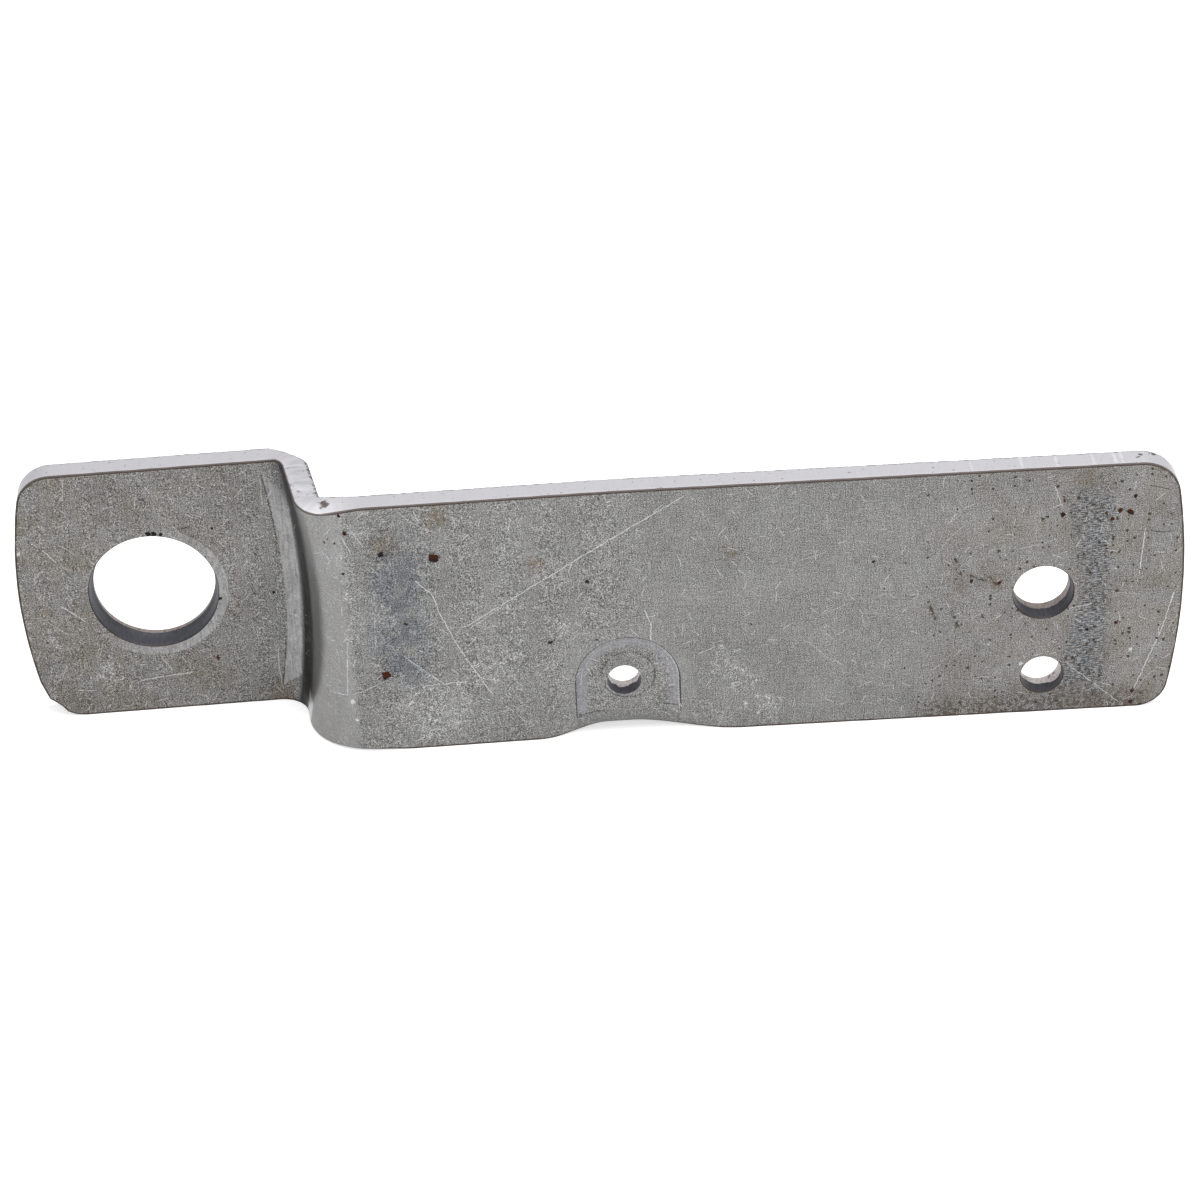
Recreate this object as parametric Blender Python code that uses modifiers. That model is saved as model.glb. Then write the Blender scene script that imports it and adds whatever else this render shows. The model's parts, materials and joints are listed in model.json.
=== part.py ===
"""Idler pivot bracket, pressed from one piece of steel strip. Metres, +Z up.

The strip is cut flat with its four punched holes, then joggled, so that the pivot tab lies
behind the main plate, and given the half-round locating lug on its lower edge.
It stands on its long lower edge. Its front faces -Y and its idler end points along +X.
"""

from math import atan2, copysign, cos, pi, radians, sin, sqrt, tan

import bmesh
import bpy
from mathutils import Matrix, Vector

# Strip
HEIGHT = 0.0508
THICKNESS = 0.00476
EDGE_ROLLOVER = 0.0009

# Plan of the finished bracket: X from the line of the lug, Y from the front of the idler end
MAIN_REACH = 0.10055
MAIN_END_RADIUS = 0.1231
MAIN_END_RISE = 0.0007
MAIN_LOW_CORNER_RADIUS = 0.0058
MAIN_TOP_CORNER_RADIUS = 0.0071
MAIN_SET_ANGLE = radians(1.55)
MAIN_SET_WIDTH = 0.016
PIVOT_X = -0.08262
PIVOT_SETBACK = 0.01632
TAB_ANGLE = radians(2.41)
TAB_REACH = 0.02417
TAB_END_RADIUS = 0.099
TAB_CORNER_RADIUS = 0.0065

# The tab's lower corner was sheared off unevenly: places from the pivot hole's centre line
TAB_NICK = (
    (-0.02180, 0.00530),
    (-0.02135, 0.00400),
    (-0.02060, 0.00345),
    (-0.01930, 0.00220),
    (-0.01840, 0.00095),
    (-0.01700, 0.00025),
    (-0.01500, 0.0),
)
TAB_NICK_TOP = 0.0078

# Punched holes: the wall is straight at the back and flares where the slug broke away in front
PIVOT_BORE = 0.02188
PIVOT_MOUTH = 0.02323
PIVOT_LAND = 0.27
IDLER_BORE = 0.01001
IDLER_MOUTH = 0.01080
IDLER_LAND = 0.35
IDLER_HOLE_X = 0.07573
PIN_BORE = 0.00735
PIN_MOUTH = 0.00765
PIN_LAND = 0.5
PIN_HOLE_X = 0.07594
PIN_HOLE_HEIGHT = 0.00797
LUG_BORE = 0.00575
LUG_MOUTH = 0.00615
LUG_LAND = 0.5
LUG_HOLE_X = 0.0011
LUG_HOLE_HEIGHT = 0.0115
HOLE_ROLLOVER = 0.0004

# Joggle: the riser's place is that of its front at the depth given
RISER_DEPTH = 0.0085
RISER_TOP_X = -0.0559
RISER_LOW_X = -0.05618
RISER_BOW = 0.0023
RISER_TOP_ANGLE = radians(78.7)
RISER_LOW_ANGLE = radians(82.0)
RISER_THICKNESS = 0.00465
MAIN_BEND_TOP = 0.0055
MAIN_BEND_LOW = 0.0128
TAB_BEND_TOP = 0.0030
TAB_BEND_LOW = 0.0052
SHARPEST_BEND = 0.0010

# A tight bend draws its outer face in from the strip's edges and swells its inner face at the top
TOP_EDGE_DRAW = 0.0008
LOW_EDGE_DRAW = 0.00045
TOP_EDGE_SWELL = 0.0003
EDGE_DEPTH = 0.007
DRAW_LEAD = 0.007

# Locating lug: the lip below it is pressed back, and a flat-floored recess is struck over it
LIP_LEFT = -0.0145
LIP_LEFT_RUN = 0.0125
LIP_RIGHT = 0.0220
LIP_RIGHT_RUN = 0.0200
LIP_HEIGHT = 0.0075
LIP_BACK = 0.0034
LIP_RISE = 0.0007
RECESS_X = 0.0017
RECESS_CENTRE_HEIGHT = 0.0113
RECESS_RADIUS = 0.00935
RECESS_DEPTH = 0.0005
RECESS_FILLET = 0.0004

# Fineness of the facets
END_STEPS = 14
CORNER_STEPS = 7
PIVOT_STEPS = 72
HOLE_STEPS = 44
LEAD_STEPS = 4
MAIN_BEND_STEPS = 10
RISER_STEPS = 2
TAB_BEND_STEPS = 8
JOGGLE_ROWS = 12
LIP_COLUMNS = 14
LIP_ROWS = 5
ROLLOVER_STEPS = 3
SHARP_ANGLE = radians(28)

# Worked out from the sizes above
MIDDLE = HEIGHT / 2
JOGGLE_STEPS = LEAD_STEPS + MAIN_BEND_STEPS + RISER_STEPS + TAB_BEND_STEPS
CUT_CLEARANCE = 0.001
WELD = 0.000001

STEEL_COLOUR = (0.24, 0.235, 0.23, 1.0)
STEEL_ROUGHNESS = 0.48
STEEL_METALLIC = 0.9


def clear_scene():
    for obj in list(bpy.data.objects):
        bpy.data.objects.remove(obj, do_unlink=True)


def new_collection(name):
    collection = bpy.data.collections.new(name)
    bpy.context.scene.collection.children.link(collection)
    return collection


def ease(share):
    """Rises smoothly from 0 to 1 as the share does."""
    held = min(max(share, 0.0), 1.0)
    return held * held * (3 - 2 * held)


def blend(low, high, share):
    return low + (high - low) * share


def arc(centre, radius, start, end, steps):
    """Points along an arc in a plane, with both its ends."""
    angles = [blend(start, end, i / steps) for i in range(steps + 1)]
    return [Vector((centre[0] + radius * cos(a), centre[1] + radius * sin(a))) for a in angles]


def turned(vector, angle):
    return Matrix.Rotation(angle, 2) @ vector


def meeting_point(start, way, other_start, other_way):
    """Where two straight lines of the plan cross."""
    share = (other_start - start).cross(other_way) / way.cross(other_way)
    return start + way * share


# The flat blank


def corner_centre(end_centre, end_radius, radius, height, side):
    """The centre of a rounded corner at this height that runs into the end's long arc."""
    reach = sqrt((end_radius - radius) ** 2 - (end_centre.y - height) ** 2)
    return Vector((end_centre.x + side * reach, height))


def main_end():
    """The idler end's outline, from the lower edge to the upper one."""
    centre = Vector((MAIN_REACH - MAIN_END_RADIUS, MIDDLE + MAIN_END_RISE))
    low = corner_centre(centre, MAIN_END_RADIUS, MAIN_LOW_CORNER_RADIUS, MAIN_LOW_CORNER_RADIUS, 1)
    high_place = HEIGHT - MAIN_TOP_CORNER_RADIUS
    high = corner_centre(centre, MAIN_END_RADIUS, MAIN_TOP_CORNER_RADIUS, high_place, 1)
    low_angle = atan2(low.y - centre.y, low.x - centre.x)
    high_angle = atan2(high.y - centre.y, high.x - centre.x)
    points = arc(low, MAIN_LOW_CORNER_RADIUS, -pi / 2, low_angle, CORNER_STEPS)
    points += arc(centre, MAIN_END_RADIUS, low_angle, high_angle, END_STEPS)[1:-1]
    return points + arc(high, MAIN_TOP_CORNER_RADIUS, high_angle, pi / 2, CORNER_STEPS)


def tab_end(pivot):
    """The pivot tab's outline, from the upper edge to the lower one."""
    centre = Vector((pivot - TAB_REACH + TAB_END_RADIUS, MIDDLE))
    high = corner_centre(centre, TAB_END_RADIUS, TAB_CORNER_RADIUS, HEIGHT - TAB_CORNER_RADIUS, -1)
    high_angle = atan2(high.y - centre.y, high.x - centre.x)
    low_drop = centre.y - TAB_NICK_TOP
    low_angle = 2 * pi - atan2(low_drop, -sqrt(TAB_END_RADIUS**2 - low_drop**2))
    points = arc(high, TAB_CORNER_RADIUS, pi / 2, high_angle, CORNER_STEPS)
    points += arc(centre, TAB_END_RADIUS, high_angle, low_angle, END_STEPS)[1:]
    return points + [Vector((pivot + x, height)) for x, height in TAB_NICK]


def extruded_outline(name, points, low, high):
    """A mesh object between two heights with this outline, each of its caps one face."""
    curve = bpy.data.curves.new(name, "CURVE")
    curve.dimensions = "2D"
    curve.fill_mode = "BOTH"
    curve.extrude = (high - low) / 2
    spline = curve.splines.new("POLY")
    spline.points.add(len(points) - 1)
    for place, point in zip(spline.points, points):
        place.co = (point.x, point.y, 0, 1)
    spline.use_cyclic_u = True
    drawn = bpy.data.objects.new(name + "_outline", curve)
    bpy.context.scene.collection.objects.link(drawn)
    mesh = mesh_as_cut(drawn)
    bpy.data.objects.remove(drawn)
    mesh.name = name
    bm = bmesh.new()
    bm.from_mesh(mesh)
    bmesh.ops.remove_doubles(bm, verts=bm.verts, dist=WELD)
    bmesh.ops.translate(bm, verts=bm.verts, vec=(0, 0, (low + high) / 2))
    for side in (1, -1):
        bm.normal_update()
        cap = [face for face in bm.faces if face.normal.z * side > 0.9]
        bmesh.ops.dissolve_faces(bm, faces=cap)
    bm.to_mesh(mesh)
    bm.free()
    return bpy.data.objects.new(name, mesh)


def round_lowest_edges(mesh, radius, steps):
    """Rounds the rim of a mesh's lowest flat face."""
    bm = bmesh.new()
    bm.from_mesh(mesh)
    floor = min(bm.faces, key=lambda face: face.calc_center_median().z)
    bmesh.ops.bevel(
        bm,
        geom=list(floor.edges),
        offset=radius,
        offset_type="OFFSET",
        segments=steps,
        profile=0.5,
        affect="EDGES",
        clamp_overlap=False,
        material=-1,
    )
    bm.to_mesh(mesh)
    bm.free()


def punch(name, place, bore, mouth, land, steps, cutters):
    """A turned cutter with the shape of a punched hole, whose back is at height 0."""
    top = THICKNESS + CUT_CLEARANCE
    rim = bore / 2 + HOLE_ROLLOVER
    profile = [(0, top), (mouth / 2, top), (mouth / 2, THICKNESS), (bore / 2, THICKNESS * land)]
    rim_arc = arc((rim, HOLE_ROLLOVER), HOLE_ROLLOVER, pi, pi * 1.5, ROLLOVER_STEPS)
    profile += [tuple(point) for point in rim_arc]
    profile += [(rim, -CUT_CLEARANCE), (0, -CUT_CLEARANCE)]
    edges = [(i, i + 1) for i in range(len(profile) - 1)]
    mesh = bpy.data.meshes.new(name)
    mesh.from_pydata([(x, 0, z) for x, z in profile], edges, [])
    cutter = bpy.data.objects.new(name, mesh)
    cutter.location = (place[0], place[1], 0)
    screw = cutter.modifiers.new("turn", "SCREW")
    screw.steps = steps
    screw.render_steps = steps
    screw.use_merge_vertices = True
    screw.merge_threshold = WELD
    hide_cutter(cutter, cutters)
    return cutter


def hide_cutter(cutter, cutters):
    """Keeps a cutter, or a stage of the work, out of the finished part."""
    cutter.hide_render = True
    cutter.display_type = "WIRE"
    cutters.objects.link(cutter)


def cut(piece, cutter):
    boolean = piece.modifiers.new(cutter.name, "BOOLEAN")
    boolean.operation = "DIFFERENCE"
    boolean.solver = "EXACT"
    boolean.object = cutter


def mesh_as_cut(piece):
    """A new mesh of the piece with its cuts made."""
    bpy.context.view_layer.update()
    return bpy.data.meshes.new_from_object(piece.evaluated_get(bpy.context.evaluated_depsgraph_get()))


def flat_blank(joggle, cutters):
    """The strip lying on its back, front up, with X along it: cut to length and punched."""
    points = main_end() + tab_end(joggle["pivot"])
    blank = extruded_outline("flat_blank", points, 0, THICKNESS)
    round_lowest_edges(blank.data, EDGE_ROLLOVER, ROLLOVER_STEPS)
    hide_cutter(blank, cutters)
    pivot_place = (joggle["pivot"], MIDDLE)
    idler_place = (IDLER_HOLE_X, MIDDLE)
    pin_place = (PIN_HOLE_X, PIN_HOLE_HEIGHT)
    lug_place = (LUG_HOLE_X, LUG_HOLE_HEIGHT)
    cut(blank, punch("pivot_punch", pivot_place, PIVOT_BORE, PIVOT_MOUTH, PIVOT_LAND, PIVOT_STEPS, cutters))
    cut(blank, punch("idler_punch", idler_place, IDLER_BORE, IDLER_MOUTH, IDLER_LAND, HOLE_STEPS, cutters))
    cut(blank, punch("pin_punch", pin_place, PIN_BORE, PIN_MOUTH, PIN_LAND, HOLE_STEPS, cutters))
    cut(blank, punch("lug_punch", lug_place, LUG_BORE, LUG_MOUTH, LUG_LAND, HOLE_STEPS, cutters))
    return blank


# The joggle


def bend(corner, way_in, way_out, radius, steps):
    """Points of a bend that leads one straight run into the next at their corner."""
    turn = atan2(way_in.cross(way_out), way_in.dot(way_out))
    start = corner - way_in * (radius * tan(abs(turn) / 2))
    centre = start + turned(way_in, copysign(pi / 2, turn)) * radius
    return [centre + turned(start - centre, turn * i / steps) for i in range(steps + 1)]


def joggle_face(height, behind):
    """The plan of the joggle at one height, from main plate to tab: its front or its back."""
    low = (1 - height / HEIGHT) ** 1.5
    bow = RISER_BOW * (sin(pi * height / HEIGHT) ** 2 if behind else 4 * height * (HEIGHT - height) / HEIGHT**2)
    main_way = Vector((-cos(MAIN_SET_ANGLE), -sin(MAIN_SET_ANGLE)))
    tab_way = Vector((-cos(TAB_ANGLE), -sin(TAB_ANGLE)))
    slope = blend(RISER_TOP_ANGLE, RISER_LOW_ANGLE, low)
    riser_way = Vector((-cos(slope), sin(slope)))
    main_start = Vector((0, 0))
    tab_start = Vector((PIVOT_X, PIVOT_SETBACK))
    riser_start = Vector((blend(RISER_TOP_X, RISER_LOW_X, low) + bow, RISER_DEPTH))
    main_radius = blend(MAIN_BEND_TOP, MAIN_BEND_LOW, low)
    tab_radius = blend(TAB_BEND_TOP, TAB_BEND_LOW, low)
    if behind:
        main_start += turned(main_way, -pi / 2) * THICKNESS
        tab_start += turned(tab_way, -pi / 2) * THICKNESS
        riser_start += turned(riser_way, -pi / 2) * RISER_THICKNESS
        main_radius = max(main_radius - THICKNESS, SHARPEST_BEND)
        tab_radius += THICKNESS
    main_corner = meeting_point(main_start, main_way, riser_start, riser_way)
    tab_corner = meeting_point(riser_start, riser_way, tab_start, tab_way)
    main_bend = bend(main_corner, main_way, riser_way, main_radius, MAIN_BEND_STEPS)
    tab_bend = bend(tab_corner, riser_way, tab_way, tab_radius, TAB_BEND_STEPS)
    lead = [main_bend[0] - main_way * DRAW_LEAD * (1 - i / LEAD_STEPS) for i in range(LEAD_STEPS)]
    riser = [main_bend[-1].lerp(tab_bend[0], i / RISER_STEPS) for i in range(1, RISER_STEPS)]
    return lead + main_bend + riser + tab_bend


def joggle_layout():
    """Where the joggle and the pivot lie along the flat blank, from the bend's length at mid height."""
    front = joggle_face(MIDDLE, False)
    back = joggle_face(MIDDLE, True)
    middle = [(a + b) / 2 for a, b in zip(front, back)]
    length = sum((b - a).length for a, b in zip(middle, middle[1:]))
    main_side = -front[0].length
    tab_side = main_side - length
    pivot = tab_side - (front[-1] - Vector((PIVOT_X, PIVOT_SETBACK))).length
    return {"main_side": main_side, "tab_side": tab_side, "pivot": pivot}


def at_station(points, station):
    """A point along a row of points, counted in whole steps and parts of one."""
    index = min(int(station), len(points) - 2)
    return points[index].lerp(points[index + 1], station - index)


def bump(place, start, peak, end):
    """Rises smoothly from 0 at the start to 1 at the peak and falls back to 0 at the end."""
    return ease((place - start) / (peak - start)) if place < peak else ease((end - place) / (end - peak))


def edge_shift(station, height, depth):
    """How far a bend moves the strip's upper or lower edge."""
    riser_start = LEAD_STEPS + MAIN_BEND_STEPS
    in_main_bend = bump(station, 0, LEAD_STEPS + 1, riser_start + 1)
    in_tab_bend = bump(station, riser_start, riser_start + RISER_STEPS + TAB_BEND_STEPS / 2, JOGGLE_STEPS)
    outward = (2 * depth / THICKNESS - 1) * (in_main_bend - in_tab_bend)
    from_top = HEIGHT - height
    near = max(1 - min(height, from_top) / EDGE_DEPTH, 0) ** 2
    if height < from_top:
        return -near * LOW_EDGE_DRAW * min(outward, 0)
    return near * outward * (TOP_EDGE_SWELL if outward > 0 else TOP_EDGE_DRAW)


# The press


def joggled(joggle, along, height, depth):
    """Where the joggle's own stretch of the blank ends up."""
    station = (joggle["main_side"] - along) / (joggle["main_side"] - joggle["tab_side"]) * JOGGLE_STEPS
    front = at_station(joggle_face(height, False), station)
    back = at_station(joggle_face(height, True), station)
    place = front.lerp(back, depth / THICKNESS)
    return Vector((place.x, place.y, height + edge_shift(station, height, depth)))


def lip_share(along, height):
    """How far the lip is pressed back at a point of the plate, from 0 to 1."""
    across = ease((along - LIP_LEFT) / LIP_LEFT_RUN) * ease((LIP_RIGHT - along) / LIP_RIGHT_RUN)
    return across * max(1 - height / LIP_HEIGHT, 0) ** 2


def main_pressed(along, height, depth):
    """The main plate, which the press left slightly bent at the lug, and the lug's lip."""
    half = MAIN_SET_WIDTH / 2
    angle = MAIN_SET_ANGLE * min(max((half - along) / MAIN_SET_WIDTH, 0), 1)
    radius = MAIN_SET_WIDTH / MAIN_SET_ANGLE
    if along >= half:
        place = Vector((along, 0))
    elif along <= -half:
        place = Vector((along * cos(angle), along * sin(angle)))
    else:
        place = Vector((half - radius * sin(angle), -radius * (1 - cos(angle))))
    place += Vector((-sin(angle), cos(angle))) * depth
    lip = lip_share(along, height)
    return Vector((place.x, place.y + LIP_BACK * lip, height + LIP_RISE * lip))


def tab_pressed(joggle, along, height, depth):
    from_pivot = along - joggle["pivot"]
    x = PIVOT_X + from_pivot * cos(TAB_ANGLE) - depth * sin(TAB_ANGLE)
    y = PIVOT_SETBACK + from_pivot * sin(TAB_ANGLE) + depth * cos(TAB_ANGLE)
    return Vector((x, y, height))


def pressed(joggle, point):
    """Where a point of the flat blank ends up in the bracket."""
    depth = THICKNESS - point.z
    if point.x > joggle["main_side"] + WELD:
        return main_pressed(point.x, point.y, depth)
    if point.x < joggle["tab_side"] - WELD:
        return tab_pressed(joggle, point.x, point.y, depth)
    return joggled(joggle, point.x, point.y, depth)


def slice_faces(bm, axis, places, inside):
    """Cuts the faces whose middle passes the test along planes square to an axis."""
    normal = Vector((0, 0, 0))
    normal[axis] = 1
    for place in places:
        faces = [face for face in bm.faces if inside(face.calc_center_bounds())]
        edges = {edge for face in faces for edge in face.edges}
        verts = {vert for face in faces for vert in face.verts}
        geom = [*verts, *edges, *faces]
        bmesh.ops.bisect_plane(bm, geom=geom, dist=WELD, plane_co=normal * place, plane_no=normal)


def spaced(start, end, steps):
    return [blend(start, end, i / steps) for i in range(steps + 1)]


def slice_for_press(bm, joggle):
    """Gives the blank the edges along which the press bends it."""
    columns = spaced(joggle["tab_side"], joggle["main_side"], JOGGLE_STEPS)
    rows = [MIDDLE * (1 - cos(pi * i / JOGGLE_ROWS)) for i in range(1, JOGGLE_ROWS)]
    half_set = MAIN_SET_WIDTH / 2

    def in_joggle(middle):
        return columns[0] < middle.x < columns[-1]

    def in_lip(middle):
        return LIP_LEFT < middle.x < LIP_RIGHT

    def under_lip_line(middle):
        return in_lip(middle) and middle.y < LIP_HEIGHT

    slice_faces(bm, 0, [columns[0], columns[-1], LIP_LEFT, -half_set, half_set, LIP_RIGHT], lambda middle: True)
    slice_faces(bm, 0, columns[1:-1], in_joggle)
    slice_faces(bm, 1, rows, in_joggle)
    slice_faces(bm, 1, [LIP_HEIGHT], in_lip)
    slice_faces(bm, 0, spaced(LIP_LEFT, LIP_RIGHT, LIP_COLUMNS)[1:-1], under_lip_line)
    slice_faces(bm, 1, spaced(0, LIP_HEIGHT, LIP_ROWS)[1:-1], under_lip_line)


def pressed_mesh(blank, joggle):
    """The blank's mesh after the press."""
    mesh = mesh_as_cut(blank)
    bm = bmesh.new()
    bm.from_mesh(mesh)
    bmesh.ops.remove_doubles(bm, verts=bm.verts, dist=WELD)
    slice_for_press(bm, joggle)
    bmesh.ops.triangulate(bm, faces=bm.faces, quad_method="BEAUTY", ngon_method="BEAUTY")
    for vert in bm.verts:
        vert.co = pressed(joggle, vert.co)
    bmesh.ops.recalc_face_normals(bm, faces=bm.faces)
    bm.to_mesh(mesh)
    bm.free()
    return mesh


def recess_cutter(cutters):
    """The D-shaped punch that leaves the flat-floored recess over the lug."""
    bottom = -CUT_CLEARANCE
    points = [Vector((RECESS_X - RECESS_RADIUS, bottom)), Vector((RECESS_X + RECESS_RADIUS, bottom))]
    points += arc((RECESS_X, RECESS_CENTRE_HEIGHT), RECESS_RADIUS, 0, pi, HOLE_STEPS)
    top = MAIN_SET_ANGLE * MAIN_SET_WIDTH + CUT_CLEARANCE
    cutter = extruded_outline("recess_punch", points, -RECESS_DEPTH, top)
    round_lowest_edges(cutter.data, RECESS_FILLET, ROLLOVER_STEPS)
    cutter.data.transform(Matrix.Rotation(pi / 2, 4, "X"))
    hide_cutter(cutter, cutters)
    return cutter


def steel():
    material = bpy.data.materials.new("pressed_steel")
    material.use_nodes = True
    shader = material.node_tree.nodes["Principled BSDF"]
    shader.inputs["Base Color"].default_value = STEEL_COLOUR
    shader.inputs["Roughness"].default_value = STEEL_ROUGHNESS
    shader.inputs["Metallic"].default_value = STEEL_METALLIC
    return material


def middle_of_footprint(mesh):
    """The point on the lowest level below the middle of the mesh's box."""
    lows = [min(vert.co[axis] for vert in mesh.vertices) for axis in range(3)]
    highs = [max(vert.co[axis] for vert in mesh.vertices) for axis in range(3)]
    return Vector(((lows[0] + highs[0]) / 2, (lows[1] + highs[1]) / 2, lows[2]))


def main():
    clear_scene()
    parts = new_collection("idler_pivot_bracket")
    cutters = new_collection("cutters")
    joggle = joggle_layout()
    blank = flat_blank(joggle, cutters)
    plate = bpy.data.objects.new("pressed_plate", pressed_mesh(blank, joggle))
    hide_cutter(plate, cutters)
    cut(plate, recess_cutter(cutters))
    mesh = mesh_as_cut(plate)
    mesh.name = "idler_pivot_bracket"
    mesh.materials.append(steel())
    mesh.shade_smooth()
    mesh.set_sharp_from_angle(angle=SHARP_ANGLE)
    bracket = bpy.data.objects.new("idler_pivot_bracket", mesh)
    bracket.location = -middle_of_footprint(mesh)
    parts.objects.link(bracket)


main()
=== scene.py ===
"""Idler pivot bracket in worn bare steel, on a pale studio floor.

The bracket is made as the real one is: a flat strip is cut out and punched, its lug is struck, and
the press joggles it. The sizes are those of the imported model, with finer edges and bends, and the
steel then gets its own marks. Metres, +Z up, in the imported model's frame.
"""

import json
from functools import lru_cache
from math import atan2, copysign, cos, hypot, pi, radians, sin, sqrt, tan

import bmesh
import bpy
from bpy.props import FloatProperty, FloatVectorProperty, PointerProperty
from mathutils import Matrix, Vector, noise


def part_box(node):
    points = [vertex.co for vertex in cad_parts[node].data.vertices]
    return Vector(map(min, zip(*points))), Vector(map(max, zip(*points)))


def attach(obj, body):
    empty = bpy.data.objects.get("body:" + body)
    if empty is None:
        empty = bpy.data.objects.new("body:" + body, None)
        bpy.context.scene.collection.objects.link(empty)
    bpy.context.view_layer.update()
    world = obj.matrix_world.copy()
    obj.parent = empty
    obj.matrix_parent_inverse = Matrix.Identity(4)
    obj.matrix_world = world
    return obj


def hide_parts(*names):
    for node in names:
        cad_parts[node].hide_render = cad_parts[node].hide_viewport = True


bl_info = {
    "name": "Idler Pivot Bracket",
    "version": (1, 0, 0),
    "blender": (4, 5, 0),
    "location": "3D View > Sidebar > Bracket",
    "description": "Builds an idler pivot bracket in worn bare steel, with its studio stage",
    "category": "Add Mesh",
}

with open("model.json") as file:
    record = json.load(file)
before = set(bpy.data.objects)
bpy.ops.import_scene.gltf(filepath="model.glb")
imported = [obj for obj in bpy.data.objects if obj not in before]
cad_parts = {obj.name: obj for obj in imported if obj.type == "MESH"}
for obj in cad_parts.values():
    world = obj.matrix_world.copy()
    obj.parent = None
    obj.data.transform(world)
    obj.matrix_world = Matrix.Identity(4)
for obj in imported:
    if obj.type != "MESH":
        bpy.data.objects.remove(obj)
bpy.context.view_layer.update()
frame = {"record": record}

# Strip
HEIGHT = 0.0508
THICKNESS = 0.00476
MIDDLE = HEIGHT / 2

# Plan of the finished bracket: X from the line of the lug, Y from the front of the idler end
MAIN_REACH = 0.10055
MAIN_END_RADIUS = 0.1231
MAIN_END_RISE = 0.0007
MAIN_LOW_CORNER_RADIUS = 0.0058
MAIN_TOP_CORNER_RADIUS = 0.0071
MAIN_SET_ANGLE = radians(1.55)
MAIN_SET_WIDTH = 0.016
PIVOT_X = -0.08262
PIVOT_SETBACK = 0.01632
TAB_ANGLE = radians(2.41)
TAB_REACH = 0.02417
TAB_END_RADIUS = 0.099
TAB_CORNER_RADIUS = 0.0065

# The tab's lower corner was sheared off unevenly: places from the pivot hole's centre line
TAB_NICK = (
    (-0.02180, 0.00530),
    (-0.02135, 0.00400),
    (-0.02060, 0.00345),
    (-0.01930, 0.00220),
    (-0.01840, 0.00095),
    (-0.01700, 0.00025),
    (-0.01500, 0.0),
)
TAB_NICK_TOP = 0.0078

# Joggle: the riser's place is that of its front at the depth given
RISER_DEPTH = 0.0085
RISER_TOP_X = -0.0559
RISER_LOW_X = -0.05618
RISER_BOW = 0.0023
RISER_TOP_ANGLE = radians(78.7)
RISER_LOW_ANGLE = radians(82.0)
RISER_THICKNESS = 0.00465
MAIN_BEND_TOP = 0.0055
MAIN_BEND_LOW = 0.0128
TAB_BEND_TOP = 0.0030
TAB_BEND_LOW = 0.0052
SHARPEST_BEND = 0.0010

# A tight bend draws its outer face in from the strip's edges and swells its inner face at the top
TOP_EDGE_DRAW = 0.0008
LOW_EDGE_DRAW = 0.00045
TOP_EDGE_SWELL = 0.0003
EDGE_DEPTH = 0.007
DRAW_LEAD = 0.007

# The plate is stretched this far from the joggle to meet bends that start sooner or later
MAIN_EASE = 0.014
TAB_EASE = 0.0085

# Spans of the joggle's stretch, and how many pieces each span is cut into
LEAD_SPAN = 4
MAIN_BEND_SPAN = 10
RISER_SPAN = 2
TAB_BEND_SPAN = 8
JOGGLE_SPANS = LEAD_SPAN + MAIN_BEND_SPAN + RISER_SPAN + TAB_BEND_SPAN
FINE = 4

# Locating lug: the lip below it is pressed back, and a flat-floored recess is struck over it
LIP_LEFT = -0.0145
LIP_LEFT_RUN = 0.0125
LIP_RIGHT = 0.0220
LIP_RIGHT_RUN = 0.0200
LIP_HEIGHT = 0.0075
LIP_BACK = 0.0034
LIP_RISE = 0.0007
RECESS_X = 0.0017
RECESS_CENTRE_HEIGHT = 0.0113
RECESS_RADIUS = 0.00935
RECESS_DEPTH = 0.0005

# The recess's floor from its wall inwards: how far in each line lies, and how high over the floor
RECESS_LINES = (
    (0.00010, 0.0),
    (0.00075, 0.0),
    (0.00090, 0.00007),
    (0.00110, 0.00007),
    (0.00128, 0.0),
    (0.00225, 0.0),
    (0.00250, 0.00005),
)
RECESS_PITCH = 0.0005

END_STEPS = 28
CORNER_STEPS = 14
RECESS_STEPS = 96
RIM_STEPS = 4
ROLLOVER_STEPS = 6
FRONT_BREAK_STEPS = 2
WALL_ROWS = 6
CUT_CLEARANCE = 0.001
WELD = 0.000001
FLAT_FACE = 0.9995
SHARP_ANGLE = radians(40)


class Hole:
    """A punched hole. Its wall is straight at the back and flares where the slug broke away in front.

    The bore is its width at the back, the mouth its width in front and the land the straight share of
    its wall. The land's end leans by the tilt, highest at the tilt's way, and the tear roughens it.
    """

    def __init__(self, name, x, height, bore, mouth, land, steps, tilt=0.0, tilt_way=0.0, tear=0.0):
        self.name = name
        self.x = x
        self.height = height
        self.bore = bore
        self.mouth = mouth
        self.land = land
        self.steps = steps
        self.tilt = tilt
        self.tilt_way = tilt_way
        self.tear = tear


PIVOT_HOLE = Hole("pivot", PIVOT_X, MIDDLE, 0.02188, 0.02323, 0.27, 144, tear=0.00012)
IDLER_HOLE = Hole("idler", 0.07573, MIDDLE, 0.01001, 0.01080, 0.47, 96, tear=0.00025)
PIN_HOLE = Hole("pin", 0.07594, 0.00797, 0.00735, 0.00765, 0.62, 80, 0.0009, radians(60), 0.00015)
LUG_HOLE = Hole("lug", 0.0011, 0.0115, 0.00575, 0.00615, 0.5, 72, 0.0004, radians(100), 0.0004)
SMALL_BORE = 0.008
HOLE_ROLLOVER = 0.0004
MOUTH_BREAK = 0.00012

# The sheared outline's wander: its two sizes, how little it changes through the thickness, its seed
LONG_WANDER = 0.003
SHORT_WANDER = 0.0009
SHEAR_DRAG = 0.3
WANDER_SEED = 7

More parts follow.
